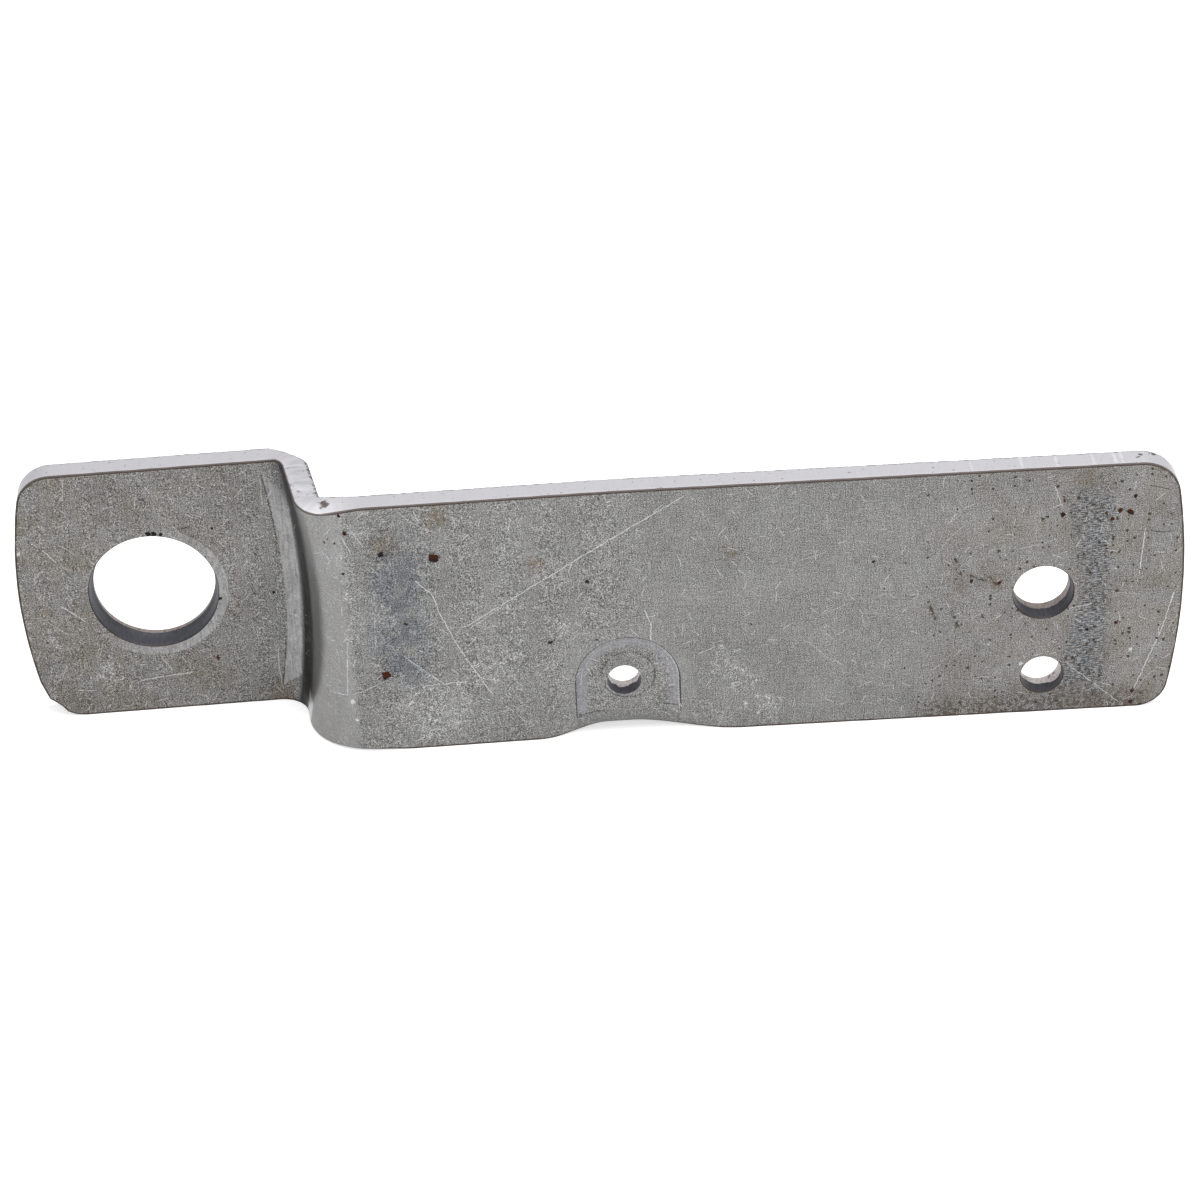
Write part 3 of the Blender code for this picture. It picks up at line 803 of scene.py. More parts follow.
class Weave:
    """Short calls that add a material's nodes. An input is a socket or a plain value."""

    def __init__(self, tree):
        self.tree = tree

    def node(self, kind, inputs, **settings):
        """A new node with its inputs led in or set."""
        node = self.tree.nodes.new(kind)
        for name, value in settings.items():
            setattr(node, name, value)
        for key, value in inputs.items():
            if isinstance(value, bpy.types.NodeSocket):
                self.tree.links.new(value, node.inputs[key])
            else:
                node.inputs[key].default_value = value
        return node

    def math(self, operation, *values, clamp=False):
        settings = {"operation": operation, "use_clamp": clamp}
        return self.node("ShaderNodeMath", dict(enumerate(values)), **settings).outputs[0]

    def line(self, value, slope, start):
        """A value times a slope, added to a start."""
        return self.math("MULTIPLY_ADD", value, slope, start)

    def swing(self, value, depth):
        """A chance value made to swing as far below 0 as above it."""
        return self.line(value, depth, -depth / 2)

    def apart(self, value, other):
        """How far a value is from another, either way."""
        return self.math("ABSOLUTE", self.math("SUBTRACT", value, other))

    def vector(self, operation, *values):
        node = self.node("ShaderNodeVectorMath", dict(enumerate(values)), operation=operation)
        scalar = operation in ("DOT_PRODUCT", "DISTANCE", "LENGTH")
        return node.outputs["Value" if scalar else "Vector"]

    def scaled(self, vector, scale):
        node = self.node("ShaderNodeVectorMath", {0: vector, "Scale": scale}, operation="SCALE")
        return node.outputs["Vector"]

    def step(self, value, low, high):
        """0 up to low and 1 from high, smooth between. A low above high turns it round."""
        inputs = {"Value": value, "From Min": low, "From Max": high}
        return self.node("ShaderNodeMapRange", inputs, interpolation_type="SMOOTHSTEP").outputs["Result"]

    def tinted(self, share, low, high):
        """One colour mixed into another by a share."""
        return self.node("ShaderNodeMix", {0: share, 4: low, 5: high}, data_type="VECTOR").outputs[1]

    def blend(self, share, low, high):
        return self.node("ShaderNodeMix", {0: share, 2: low, 3: high}, data_type="FLOAT").outputs[0]

    def noise(self, place, scale, detail=2.0, roughness=0.5, distortion=0.0):
        inputs = {"Vector": place, "Scale": scale, "Detail": detail, "Roughness": roughness}
        return self.node("ShaderNodeTexNoise", {**inputs, "Distortion": distortion}).outputs[0]

    def parts(self, vector):
        return self.node("ShaderNodeSeparateXYZ", {0: vector}).outputs

    def chances(self, colour_of):
        """Three chance values from a texture's colour."""
        return self.node("ShaderNodeSeparateColor", {0: colour_of}).outputs

    def joined(self, x, y, z):
        return self.node("ShaderNodeCombineXYZ", {0: x, 1: y, 2: z}).outputs[0]

    def most(self, *values):
        """The largest of several values."""
        result = values[0]
        for value in values[1:]:
            result = self.math("MAXIMUM", result, value)
        return result

    def least(self, distance, place, marks):
        """The distance of a place from the nearest of several marks."""
        result = distance(place, *marks[0])
        for mark in marks[1:]:
            result = self.math("MINIMUM", result, distance(place, *mark))
        return result

    def every(self, *shares):
        """Several shares times each other."""
        result = shares[0]
        for share in shares[1:]:
            result = self.math("MULTIPLY", result, share)
        return result

    def stretched(self, place, *scale):
        """A place stretched along each axis."""
        return self.vector("MULTIPLY", place, scale)

    def band(self, value, low, high, soft):
        """1 between two limits, with soft ends."""
        above = self.step(value, low - soft, low + soft)
        return self.every(above, self.step(value, high + soft, high - soft))

    def cells(self, flat, scale):
        """A net of uneven cells: each one's chance colour, its middle and the distance from that."""
        inputs = {"Vector": flat, "Scale": scale}
        return self.node("ShaderNodeTexVoronoi", inputs, voronoi_dimensions="2D").outputs

    def strokes(self, flat, scale, reach, width, share):
        """Chance scratches, slightly curved and at most one in each cell of a net."""
        cell = self.cells(flat, scale)
        chance = self.chances(cell["Color"])
        offset = self.vector("SUBTRACT", flat, cell["Position"])
        angle = self.math("MULTIPLY", chance[0], 2 * pi)
        inputs = {"Vector": offset, "Angle": angle}
        turned_offset = self.node("ShaderNodeVectorRotate", inputs, rotation_type="Z_AXIS").outputs[0]
        along, across, _ = self.parts(turned_offset)
        sag = self.every(along, along, self.swing(chance[1], STROKE_SAG))
        near = self.step(self.math("ABSOLUTE", self.math("ADD", across, sag)), width, width * 0.4)
        length_here = self.math("MULTIPLY", chance[1], reach)
        ends = self.step(self.math("SUBTRACT", self.math("ABSOLUTE", along), length_here), 0.2, -0.2)
        return self.every(near, ends, self.math("LESS_THAN", chance[2], share))

    def shaken(self, flat, place, scale, reach):
        """The picture's place moved about by chance, for ragged outlines and crooked lines."""
        node = self.node("ShaderNodeTexNoise", {"Vector": place, "Scale": scale, "Detail": 2.0})
        chance = self.chances(node.outputs["Color"])
        shake = self.vector("SUBTRACT", self.joined(chance[0], chance[1], 0.5), (0.5, 0.5, 0.5))
        return self.vector("MULTIPLY_ADD", shake, (reach, reach, 0), flat)

    def line_distance(self, place, start, end):
        """How far a place is from a straight line, in the picture of x and height."""
        first = Vector((*start, 0))
        way = Vector((*end, 0)) - first
        offset = self.vector("SUBTRACT", place, first)
        along = self.vector("DOT_PRODUCT", offset, way / way.length_squared)
        share = self.math("MULTIPLY", along, 1.0, clamp=True)
        return self.vector("DISTANCE", offset, self.scaled(way, share))

    def spot_depth(self, place, x, height, radius):
        """How far a place is outside a round spot; below 0 it is inside."""
        return self.math("SUBTRACT", self.vector("DISTANCE", place, (x, height, 0)), radius)


def straight_runs(*lines):
    """The straight parts of crooked lines, as pairs of ends."""
    return tuple(ends for line in lines for ends in zip(line, line[1:]))


# Marks on the front, in millimetres: x from the lug line, height and, for a spot, its radius
RUST_SPOTS = (
    (-31.1, 39.9, 0.95),
    (-41.1, 16.3, 0.75),
    (-36.9, 26.8, 0.3),
    (-46.7, 49.7, 0.3),
    (-46.1, 46.1, 0.35),
    (-11.7, 20.8, 0.3),
    (-4.9, 23.9, 0.22),
    (-4.7, 33.0, 0.3),
    (45.6, 33.6, 0.3),
    (88.6, 41.6, 0.45),
    (90.5, 41.2, 0.6),
    (88.3, 40.2, 0.35),
    (87.4, 39.8, 0.4),
    (78.6, 41.3, 0.42),
    (75.8, 41.0, 0.25),
    (78.5, 45.0, 0.2),
    (91.2, 44.3, 0.22),
    (88.9, 18.3, 0.38),
    (92.5, 3.4, 0.42),
    (92.2, 1.1, 0.42),
    (67.8, 27.9, 0.4),
    (62.8, 28.6, 0.3),
    (65.8, 38.7, 0.3),
    (-72.6, 10.3, 0.35),
    (-71.1, 23.0, 0.3),
)
BLACK_SPOTS = (
    (-102.8, 16.3, 0.25),
    (-70.9, 37.8, 0.22),
    (-61.2, 23.4, 0.3),
    (-49.7, 44.4, 0.24),
    (-48.0, 44.2, 0.22),
    (-49.1, 45.2, 0.16),
    (-47.0, 37.9, 0.25),
    (-40.2, 41.3, 0.5),
    (23.9, 22.1, 0.2),
    (83.7, 17.1, 0.35),
    (-82.3, 37.6, 0.5),
    (-81.3, 37.5, 0.5),
    (-80.1, 37.3, 0.4),
    (62.6, 49.0, 0.2),
    (62.6, 47.4, 0.2),
    (-3.4, 20.6, 0.25),
)
DEEP_SCRATCHES = straight_runs(
    ((-26.6, 25.2), (12.6, 49.1)),
    ((-34.7, 35.4), (-31.9, 32.5), (-30.8, 28.3), (-27.9, 20.9), (-22.6, 10.6)),
    ((98.9, 24.0), (97.1, 16.3), (94.9, 10.3), (92.7, 3.9)),
    ((93.2, 37.7), (92.6, 28.4)),
    ((5.2, 26.2), (6.2, 23.3), (6.1, 20.0)),
    ((-99.4, 23.9), (-95.6, 20.3)),
    ((-101.2, 35.8), (-99.3, 33.2)),
    ((-87.3, 6.6), (-77.6, 7.6)),
)
FINE_SCRATCHES = straight_runs(
    ((-34.0, 13.4), (-26.4, 13.8)),
    ((-36.9, 19.1), (-31.2, 13.7)),
    ((-47.0, 12.4), (-41.3, 15.0)),
    ((-51.5, 11.6), (-48.2, 11.9)),
    ((-25.7, 24.9), (-20.2, 28.6)),
    ((-26.7, 20.7), (-24.5, 23.2)),
    ((-47.4, 23.7), (-48.3, 12.3)),
    ((-24.7, 14.4), (-21.0, 13.3)),
    ((-34.1, 49.5), (-33.3, 47.5)),
    ((-45.5, 47.5), (-43.2, 43.1)),
    ((-46.7, 45.3), (-45.4, 42.1)),
    ((14.5, 16.5), (17.5, 17.8)),
    ((20.7, 16.4), (22.0, 16.9)),
    ((21.2, 13.7), (18.8, 10.8)),
    ((19.8, 8.8), (22.1, 9.7)),
    ((77.0, 47.1), (78.5, 43.0)),
    ((85.9, 33.8), (89.2, 33.0)),
    ((80.4, 10.1), (89.8, 1.4)),
    ((80.3, 21.7), (84.4, 22.5)),
    ((-96.0, 49.8), (-96.5, 45.7)),
    ((-100.0, 11.1), (-100.8, 9.1)),
    ((-98.4, 5.5), (-95.5, 5.2)),
    ((-82.8, 11.2), (-81.1, 8.5)),
    ((4.6, 3.6), (6.2, 4.4), (7.8, 4.1), (9.2, 3.0)),
    ((-61.5, 46.8), (-61.5, 42.0)),
    ((-61.5, 11.4), (-61.7, 7.0), (-61.4, 2.5)),
)
PALE_NICKS = (
    (-47.5, 10.6, 0.5),
    (-47.1, 6.8, 0.4),
    (22.7, 5.3, 0.35),
    (24.9, 3.1, 0.3),
    (91.7, 12.4, 0.35),
    (72.1, 10.6, 0.35),
    (-105.6, 35.4, 0.4),
    (11.0, 5.4, 0.3),
)
# Thin dark lines: the lug punch's contact, a hair on the tab and wrinkles beside the oxide band
DARK_LINES = straight_runs(
    ((-7.6, 3.9), (-5.7, 4.9), (-3.5, 5.2)),
    ((8.0, 5.9), (11.1, 5.3)),
    ((-77.8, 37.9), (-75.0, 38.5)),
    ((93.6, 46.3), (97.2, 45.2)),
    ((91.0, 37.3), (97.5, 36.6)),
)
# Short brown streaks left of the idler's hole
BROWN_STREAKS = (
    ((60.1, 33.1), (61.2, 29.1)),
    ((55.4, 24.7), (56.6, 21.3)),
    ((59.5, 22.8), (60.7, 19.1)),
    ((62.4, 29.9), (65.4, 28.6)),
    ((66.0, 29.4), (68.3, 26.6)),
)
# Dirt on the sheared upper edge: x, depth behind the main plate's front, radius
EDGE_SPOTS = (
    (-49.3, 1.1, 0.85),
    (-55.3, 7.9, 0.3),
    (-54.0, 5.6, 0.28),
    (-51.2, 4.9, 0.4),
    (94.5, 3.7, 0.4),
    (92.3, 2.9, 0.25),
    (91.7, 2.2, 0.2),
)
# Brown blotches
BLOTCHES = (
    (-30.3, 48.3, 2.2),
    (-39.6, 42.8, 2.6),
    (-41.1, 16.8, 1.2),
    (-13.8, 37.2, 1.4),
    (20.1, 36.9, 1.0),
    (82.7, 48.0, 2.2),
    (61.0, 27.5, 1.2),
    (67.0, 28.2, 1.6),
    (-102.7, 22.6, 1.6),
    (-61.5, 1.8, 2.6),
)
# Where the surface is scuffed
SCUFFS = (
    (-46.9, 41.0, 0.9),
    (-46.6, 37.0, 1.0),
    (-46.4, 33.0, 1.2),
    (-46.0, 28.5, 1.3),
    (-45.8, 24.5, 1.0),
    (-91.8, 7.9, 2.6),
    (-9.2, 24.0, 1.6),
    (18.5, 14.5, 2.2),
    (22.5, 10.5, 2.4),
    (26.5, 4.0, 2.6),
    (-33.0, 8.0, 6.5),
    (-22.0, 17.0, 4.0),
)

# Areas of the front in the same millimetres: from low to high, or from none of the finish to all of it
STAINED_TAB = (-56.0, -80.0)
STAINED_END = (40.0, 85.0)
OXIDE_PATCH_X = (-42.5, -33.5)
OXIDE_PATCH_HEIGHT = (14.0, 44.0)
OXIDE_BAND_LEFT = (81.6, 84.4)
OXIDE_BAND_RIGHT = (89.2, 86.6)
OXIDE_BAND_HEIGHT = (4.0, 46.0)
OXIDE_BAND_MIDDLE = 26.0
FRECKLED_X = (54.0, 96.0)
FRECKLED_HEIGHT = (6.5, 2.0)
RUSTIER_END = (30.0, 72.0)
WASHER_RADII = (11.7, 13.4)
RING_BRIGHT_WAY = (0.085, -0.045, 0)
SATIN_X = (-45.6, -47.8)
CRESCENT_LEFT = -59.14
CRESCENT_LEFT_HEIGHT = 24.0
CRESCENT_RIGHT = -56.2
CRESCENT_RIGHT_HEIGHT = 26.0
PUNCH_MARK_PLACE = (1.8, 12.6, 0)
PUNCH_MARK_RADIUS = 4.8

# Distances inside the recess's outline, in millimetres
STRUCK_OUTER = (-0.05, -0.3)
STRUCK_INNER = (-2.7, -1.4)
INNER_STEP = (-1.08, -0.92)
PAINTED_HIGHLIGHT_STEP = (-0.42, -0.18)

# The riser's painted shade, the painted highlight at its foot and what lies beside it, in spans of the
# joggle
RISER_START = 15.1
RISER_START_LEAN = -1.5
RISER_END = (20.9, 19.3)
PALER_RISER_SHADE = (16.0, 17.5)
BEND_SHADE_RISE = (11.0, 15.0)
BEND_SHADE_FALL = (20.0, 15.0)
TOP_CORNER_SHADE_RISE = (15.0, 16.0)
TOP_CORNER_SHADE_FALL = (25.5, 20.0)
PAINTED_HIGHLIGHT_CORNER = (13.8, 16.6)
CRESCENT_START = 15.0
SATIN_END = 20.0
CLEAN_RIM = (4.0, 17.5)
STRIPED_EDGE = (11.0, 21.0)
DIMMED_TAB = (16.0, 24.0)

# The sheared outline across the thickness, in millimetres from the front
BACK_RIM = (4.35, 4.72)
BACK_DIRT_AND_SHADE = (4.0, 4.3)
FRONT_DIRT = (0.38, 0.22)
MOUTH_DIRT = (0.2, 0.1)

# Chance patterns of the steel: scale per millimetre, detail, roughness and, for one, distortion
GRAIN = (5.0, 2.0, 0.85)
CRUMBS = (1.1, 3.0, 0.7)
CLOUD = (0.3, 4.0, 0.7)
SLOW_CHANGE = (0.09, 4.0, 0.6)
HAZE = (0.14, 4.0, 0.7)
SATIN_RAGGED = (0.5, 3.0, 0.7)
SCUFF_BREAKS = (0.35, 2.0, 0.6)
SQUIGGLES = (0.95, 2.0, 0.6, 1.0)

# Chance scratches: how far one sags, and how far off in their pattern the back's are taken
STROKE_SAG = 0.16
BACK_SHIFT = (137.0, 61.0, 0.0)

# How much each pattern changes the mill face's tone
MILL_TONE = 0.94
GRAIN_DEPTH = 1.65
GLINT_DEPTH = 1.2
MILL_LINE_DEPTH = 0.8
CRUMB_DEPTH = 0.6
SLOW_DEPTH = 0.6
SATIN_CALM = 0.68
DARKEST_TONE = 0.25

# Gloss of the mill face and of cut or dirty steel, and depth of the grain's relief
FACE_ROUGHNESS = 0.38
FACE_ROUGHNESS_SPREAD = 0.16
CUT_ROUGHNESS = 0.58
DIRT_ROUGHNESS = 0.85
STEEL_METALLIC = 0.85
STEEL_SPECULAR = 0.5
DIRT_SPECULAR = 0.1
RELIEF = 0.016

# The strip is finished in four stretches, each with only its own marks: name and right end
STRETCHES = (
    ("tab", -43.0),
    ("bend", -14.0),
    ("lug", 30.0),
    ("idler_end", 120.0),
)
LEFT_END = -120.0
MARK_MARGIN = 1.5


def stretch_index(x):
    """Which stretch a place of the finished bracket is in."""
    return next(index for index, (_, end) in enumerate(STRETCHES) if (x - ORIGIN.x) * MM < end)


def marks_between(marks, low, high):
    """The marks that lie between two places along the bracket: spots or lines."""
    found = []
    for mark in marks:
        if len(mark) == 3:
            left, right = mark[0] - mark[2], mark[0] + mark[2]
        else:
            left, right = sorted((mark[0][0], mark[1][0]))
        if right > low - MARK_MARGIN and left < high + MARK_MARGIN:
            found.append(mark)
    return found


class Steel:
    """One stretch's material while its colour is laid on in layers."""

    def __init__(self, finish, name, low, high):
        self.material = bpy.data.materials.new("worn_steel_" + name)
        self.material.use_nodes = True
        self.finish = finish
        self.low = low
        self.high = high
        weave = self.weave = Weave(self.material.node_tree)
        object_place = weave.node("ShaderNodeTexCoord", {}).outputs["Object"]
        self.place = weave.scaled(weave.vector("SUBTRACT", object_place, ORIGIN), MM)
        self.x, self.behind, self.height = weave.parts(self.place)
        self.flat = weave.joined(self.x, self.height, 0.0)
        self.blank = weave.scaled(self.attribute("blank", "Vector"), MM)
        self.along, _, self.depth = weave.parts(self.blank)
        self.kind = self.attribute("kind", "Fac")
        self.on_faces = weave.math("LESS_THAN", self.kind, 0.5)
        self.on_front = weave.every(self.on_faces, weave.math("LESS_THAN", self.depth, 1.0))
        self.grain = weave.noise(self.place, *GRAIN)
        self.crumbs = weave.noise(self.place, *CRUMBS)
        self.cloud = weave.noise(self.place, *CLOUD)
        self.streaks = weave.noise(weave.stretched(self.place, 3.0, 1.0, 0.25), 1.0, 2.0)
        self.crooked = weave.shaken(self.flat, self.place, 0.9, 0.5)
        self.ragged = weave.shaken(self.flat, self.place, 2.2, 0.7)
        self.colour = tuple(finish.face)
        self.tone = None

    def attribute(self, name, output):
        """What the mesh keeps under a name."""
        node = self.weave.node("ShaderNodeAttribute", {}, attribute_name=name, attribute_type="GEOMETRY")
        return node.outputs[output]

    def lay(self, share, colour):
        """Lays a colour over what is there."""
        self.colour = self.weave.tinted(share, self.colour, colour)

    def nearest(self, distance, place, marks):
        """How far a place is from the nearest mark of this stretch, or None where it has none."""
        found = marks_between(marks, self.low, self.high)
        return self.weave.least(distance, place, found) if found else None

    def marked(self, distance, place, marks, outer, inner):
        """1 on the marks of a list that lie on this stretch."""
        nearest = self.nearest(distance, place, marks)
        return 0.0 if nearest is None else self.weave.step(nearest, outer, inner)


def lay_mill_face(steel, smooth):
    """The mill face's grain, mill lines and slow changes, calmer where it was rubbed smooth."""
    weave, place = steel.weave, steel.place
    tone = weave.swing(weave.step(steel.grain, 0.30, 0.70), GRAIN_DEPTH)
    tone = weave.line(weave.step(steel.grain, 0.60, 0.70), GLINT_DEPTH, tone)
    level = weave.noise(weave.stretched(place, 0.3, 0.3, 4.0), 1.0)
    upright = weave.noise(weave.stretched(place, 4.0, 0.3, 0.3), 1.0)
    mill_lines = weave.line(weave.math("ADD", level, upright), MILL_LINE_DEPTH, -MILL_LINE_DEPTH)
    tone = weave.math("ADD", tone, mill_lines)
    tone = weave.math("ADD", tone, weave.swing(steel.crumbs, CRUMB_DEPTH))
    tone = weave.math("ADD", tone, weave.swing(weave.noise(place, *SLOW_CHANGE), SLOW_DEPTH))
    steel.tone = weave.line(tone, weave.line(smooth, -SATIN_CALM, 1.0), MILL_TONE)
    steel.lay(smooth, steel.finish.satin)


def lay_stains(steel):
    """Brown stain: faint all over, stronger at both ends, and in blotches."""
    weave = steel.weave
    tab_end = weave.step(steel.x, *STAINED_TAB)
    ends = weave.line(tab_end, 1.1, weave.step(steel.x, *STAINED_END))
    haze = weave.step(weave.noise(steel.place, *HAZE), 0.26, 0.74)
    haze = weave.every(haze, weave.line(ends, 0.35, 0.12))
    blotch = steel.nearest(weave.spot_depth, steel.flat, BLOTCHES)
    if blotch is not None:
        blotch = weave.step(weave.line(steel.crumbs, 9.0, blotch), 5.8, 3.0)
        haze = weave.most(haze, weave.every(blotch, steel.on_front, 0.6))
    steel.lay(haze, steel.finish.stain)


def lay_oxide_patch(steel):
    """The blue-grey patch beside the big bend."""
    weave = steel.weave
    across = weave.band(steel.x, *OXIDE_PATCH_X, 3.0)
    patch = weave.every(across, weave.band(steel.height, *OXIDE_PATCH_HEIGHT, 5.0))
    patch = weave.every(patch, weave.step(steel.cloud, 0.32, 0.56), steel.on_front, 0.8)
    steel.lay(patch, steel.finish.oxide)


def lay_oxide_band(steel):
    """The wrinkled blue-grey band beside the idler's holes, and the freckled lower edge."""
    weave = steel.weave
    lean = weave.line(steel.height, -0.02, steel.x)
    lean = weave.line(steel.crumbs, 2.4, lean)
    left = weave.line(weave.apart(steel.height, OXIDE_BAND_MIDDLE), 0.18, lean)
    across = weave.every(weave.step(left, *OXIDE_BAND_LEFT), weave.step(lean, *OXIDE_BAND_RIGHT))
    band = weave.every(across, weave.band(steel.height, *OXIDE_BAND_HEIGHT, 3.0))
    band = weave.every(band, weave.step(steel.cloud, 0.20, 0.50), steel.on_front)
    wrinkle = weave.noise(weave.stretched(steel.place, 1.0, 1.0, 5.0), 1.0, 3.0, 0.7)
    wrinkle = weave.line(weave.step(wrinkle, 0.38, 0.64), 1.9, -0.93)
    steel.tone = weave.line(band, wrinkle, steel.tone)
    steel.lay(weave.math("MULTIPLY", band, 0.5), steel.finish.oxide)
    freckled = weave.band(steel.x, *FRECKLED_X, 3.0)
    freckled = weave.every(freckled, weave.step(steel.height, *FRECKLED_HEIGHT))
    freckled = weave.every(freckled, weave.step(steel.crumbs, 0.45, 0.55), steel.on_front, 0.65)
    steel.lay(freckled, steel.finish.dirt)


def lay_pivot_ring(steel):
    """The ring that the pivot's washer rubbed, strongest at its right and below."""
    weave = steel.weave
    way = weave.vector("SUBTRACT", steel.flat, (PIVOT_X * MM, MIDDLE * MM, 0))
    side = weave.vector("DOT_PRODUCT", way, RING_BRIGHT_WAY)
    ring = weave.band(weave.vector("LENGTH", way), *WASHER_RADII, 0.12)
    ring = weave.every(ring, weave.step(side, -0.9, 0.7))
    ring = weave.every(ring, weave.step(steel.crumbs, 0.28, 0.42), steel.on_front, 0.85)
    lay_rubbed(steel, ring)


def lay_rubbed(steel, rubbed):
    """Steel rubbed bright and smooth, with faint streaks."""
    weave = steel.weave
    calm = weave.line(weave.step(steel.grain, 0.30, 0.70), 0.4, -0.1)
    streaks = weave.step(steel.streaks, 0.3, 0.7)
    calm = weave.line(streaks, 0.35, weave.line(steel.crumbs, 0.9, calm))
    steel.tone = weave.blend(rubbed, steel.tone, weave.math("ADD", calm, 0.28))
    steel.lay(weave.math("MULTIPLY", rubbed, 0.9), steel.finish.rubbed)


def crescent_masks(steel, station):
    """The crescent that the press rubbed on the tab beside the riser, and a painted shadow line along its
    left edge.
    """
    weave, x, height = steel.weave, steel.x, steel.height
    from_middle = weave.math("SUBTRACT", height, CRESCENT_LEFT_HEIGHT)
    steepness = weave.blend(weave.step(height, 22.0, 26.0), 0.0048, 0.0032)
    left_curve = weave.math("ADD", x, weave.every(from_middle, from_middle, steepness))
    from_left = weave.math("SUBTRACT", left_curve, CRESCENT_LEFT)
    from_low = weave.math("SUBTRACT", height, CRESCENT_RIGHT_HEIGHT)
    right_curve = weave.math("ADD", x, weave.every(from_low, from_low, 0.0036))
    to_right = weave.math("SUBTRACT", CRESCENT_RIGHT, right_curve)
    lower_end = weave.math("SUBTRACT", height, weave.line(x, 0.72, 47.3))
    upper_end = weave.math("SUBTRACT", -25.1, weave.line(x, 1.2, height))
    ends = weave.every(weave.step(lower_end, -0.2, 0.2), weave.step(upper_end, -1.2, 1.2), steel.on_front)
    on_tab = weave.every(ends, weave.math("GREATER_THAN", station, CRESCENT_START))
    crescent = weave.every(on_tab, weave.step(from_left, -0.08, 0.08), weave.step(to_right, -0.2, 0.15))
    # Painted shadow: a dark line just outside the crescent's left edge, at its top and foot only.
    far = weave.step(weave.math("ABSOLUTE", from_middle), 7.0, 13.0)
    return crescent, weave.every(on_tab, weave.band(from_left, -0.35, -0.12, 0.08), far, 0.6)


def lay_riser_shade_and_highlight(steel, station):
    """Painted shade on the riser, sharp where the main bend starts, and on the bend beside it and the tab's
    top corner; a painted highlight on the corner at its foot.
    """
    weave, height = steel.weave, steel.height
    # Painted shade: dark on the riser and paler towards the tab higher up, with lighter painted shade on
    # the bend beside it and at the tab's top corner.
    start = weave.line(weave.step(height, 27.0, 49.0), RISER_START_LEAN, RISER_START)
    inside = weave.math("SUBTRACT", station, start)
    dark = weave.every(weave.step(inside, -0.3, 0.3), weave.step(station, *RISER_END))
    paler = weave.every(weave.step(station, *PALER_RISER_SHADE), weave.step(height, 14.0, 36.0), -0.25)
    dark = weave.every(dark, weave.math("ADD", paler, 0.97))
    beside = weave.every(weave.step(station, *BEND_SHADE_RISE), weave.step(station, *BEND_SHADE_FALL), 0.32)
    corner = weave.every(weave.step(station, *TOP_CORNER_SHADE_FALL), weave.step(height, 38.0, 46.0))
    corner = weave.every(corner, weave.step(station, *TOP_CORNER_SHADE_RISE), 0.5)
    steel.lay(weave.every(weave.most(dark, beside, corner), steel.on_front), steel.finish.painted_riser_shade)
    # Painted highlight on the corner at the riser's foot, in the colour of fresh metal.
    worn = weave.every(weave.step(height, 5.2, 3.6), weave.band(station, *PAINTED_HIGHLIGHT_CORNER, 0.4))
    steel.lay(weave.every(worn, steel.on_front, 0.9), steel.finish.fresh)


def recess_distance(steel):
    """How far a place is outside the D-shaped outline of the lug's recess."""
    weave = steel.weave
    sideways = weave.math("SUBTRACT", steel.x, RECESS_X * MM)
    above = weave.most(weave.math("SUBTRACT", steel.height, RECESS_CENTRE_HEIGHT * MM), 0.0)
    from_centre = weave.vector("LENGTH", weave.joined(sideways, above, 0.0))
    return weave.math("SUBTRACT", from_centre, RECESS_RADIUS * MM)


def lay_lug(steel, away):
    """The lug's floor: rubbed inside its wall and rough round its hole, with a painted highlight along the
    right of its wall.
    """
    weave, height = steel.weave, steel.height
    struck = weave.every(weave.step(away, *STRUCK_INNER), weave.step(away, *STRUCK_OUTER))
    struck = weave.every(struck, weave.step(height, 3.5, 5.5), steel.on_front)
    steel.lay(weave.math("MULTIPLY", struck, 0.5), steel.finish.struck)
    calm = weave.line(steel.streaks, 0.3, 0.87)
    steel.tone = weave.blend(weave.math("MULTIPLY", struck, 0.6), steel.tone, calm)
    from_mark = weave.apart(weave.vector("DISTANCE", steel.flat, PUNCH_MARK_PLACE), PUNCH_MARK_RADIUS)
    mark = weave.every(weave.step(from_mark, 0.3, 0.05), weave.step(steel.crumbs, 0.38, 0.50))
    inner = weave.every(weave.band(away, *INNER_STEP, 0.08), weave.step(height, 5.0, 8.0))
    # Painted highlight: a pale line just inside the recess's wall, on its right side only.
    bright = weave.every(weave.band(away, *PAINTED_HIGHLIGHT_STEP, 0.08), weave.step(steel.x, 1.0, 8.0))
    bright = weave.every(bright, weave.step(height, 4.5, 6.0))
    for share, change in ((mark, -0.55), (inner, 0.25), (bright, 0.55)):
        steel.tone = weave.line(weave.every(share, steel.on_front), change, steel.tone)


def recess_foot_shade(steel, away):
    """Painted shade: a dark line at the foot of the recess's wall."""
    weave = steel.weave
    near = weave.step(weave.apart(away, 0.02), 0.17, 0.04)
    return weave.every(near, weave.step(steel.height, 3.6, 4.6), steel.on_front, 0.75)


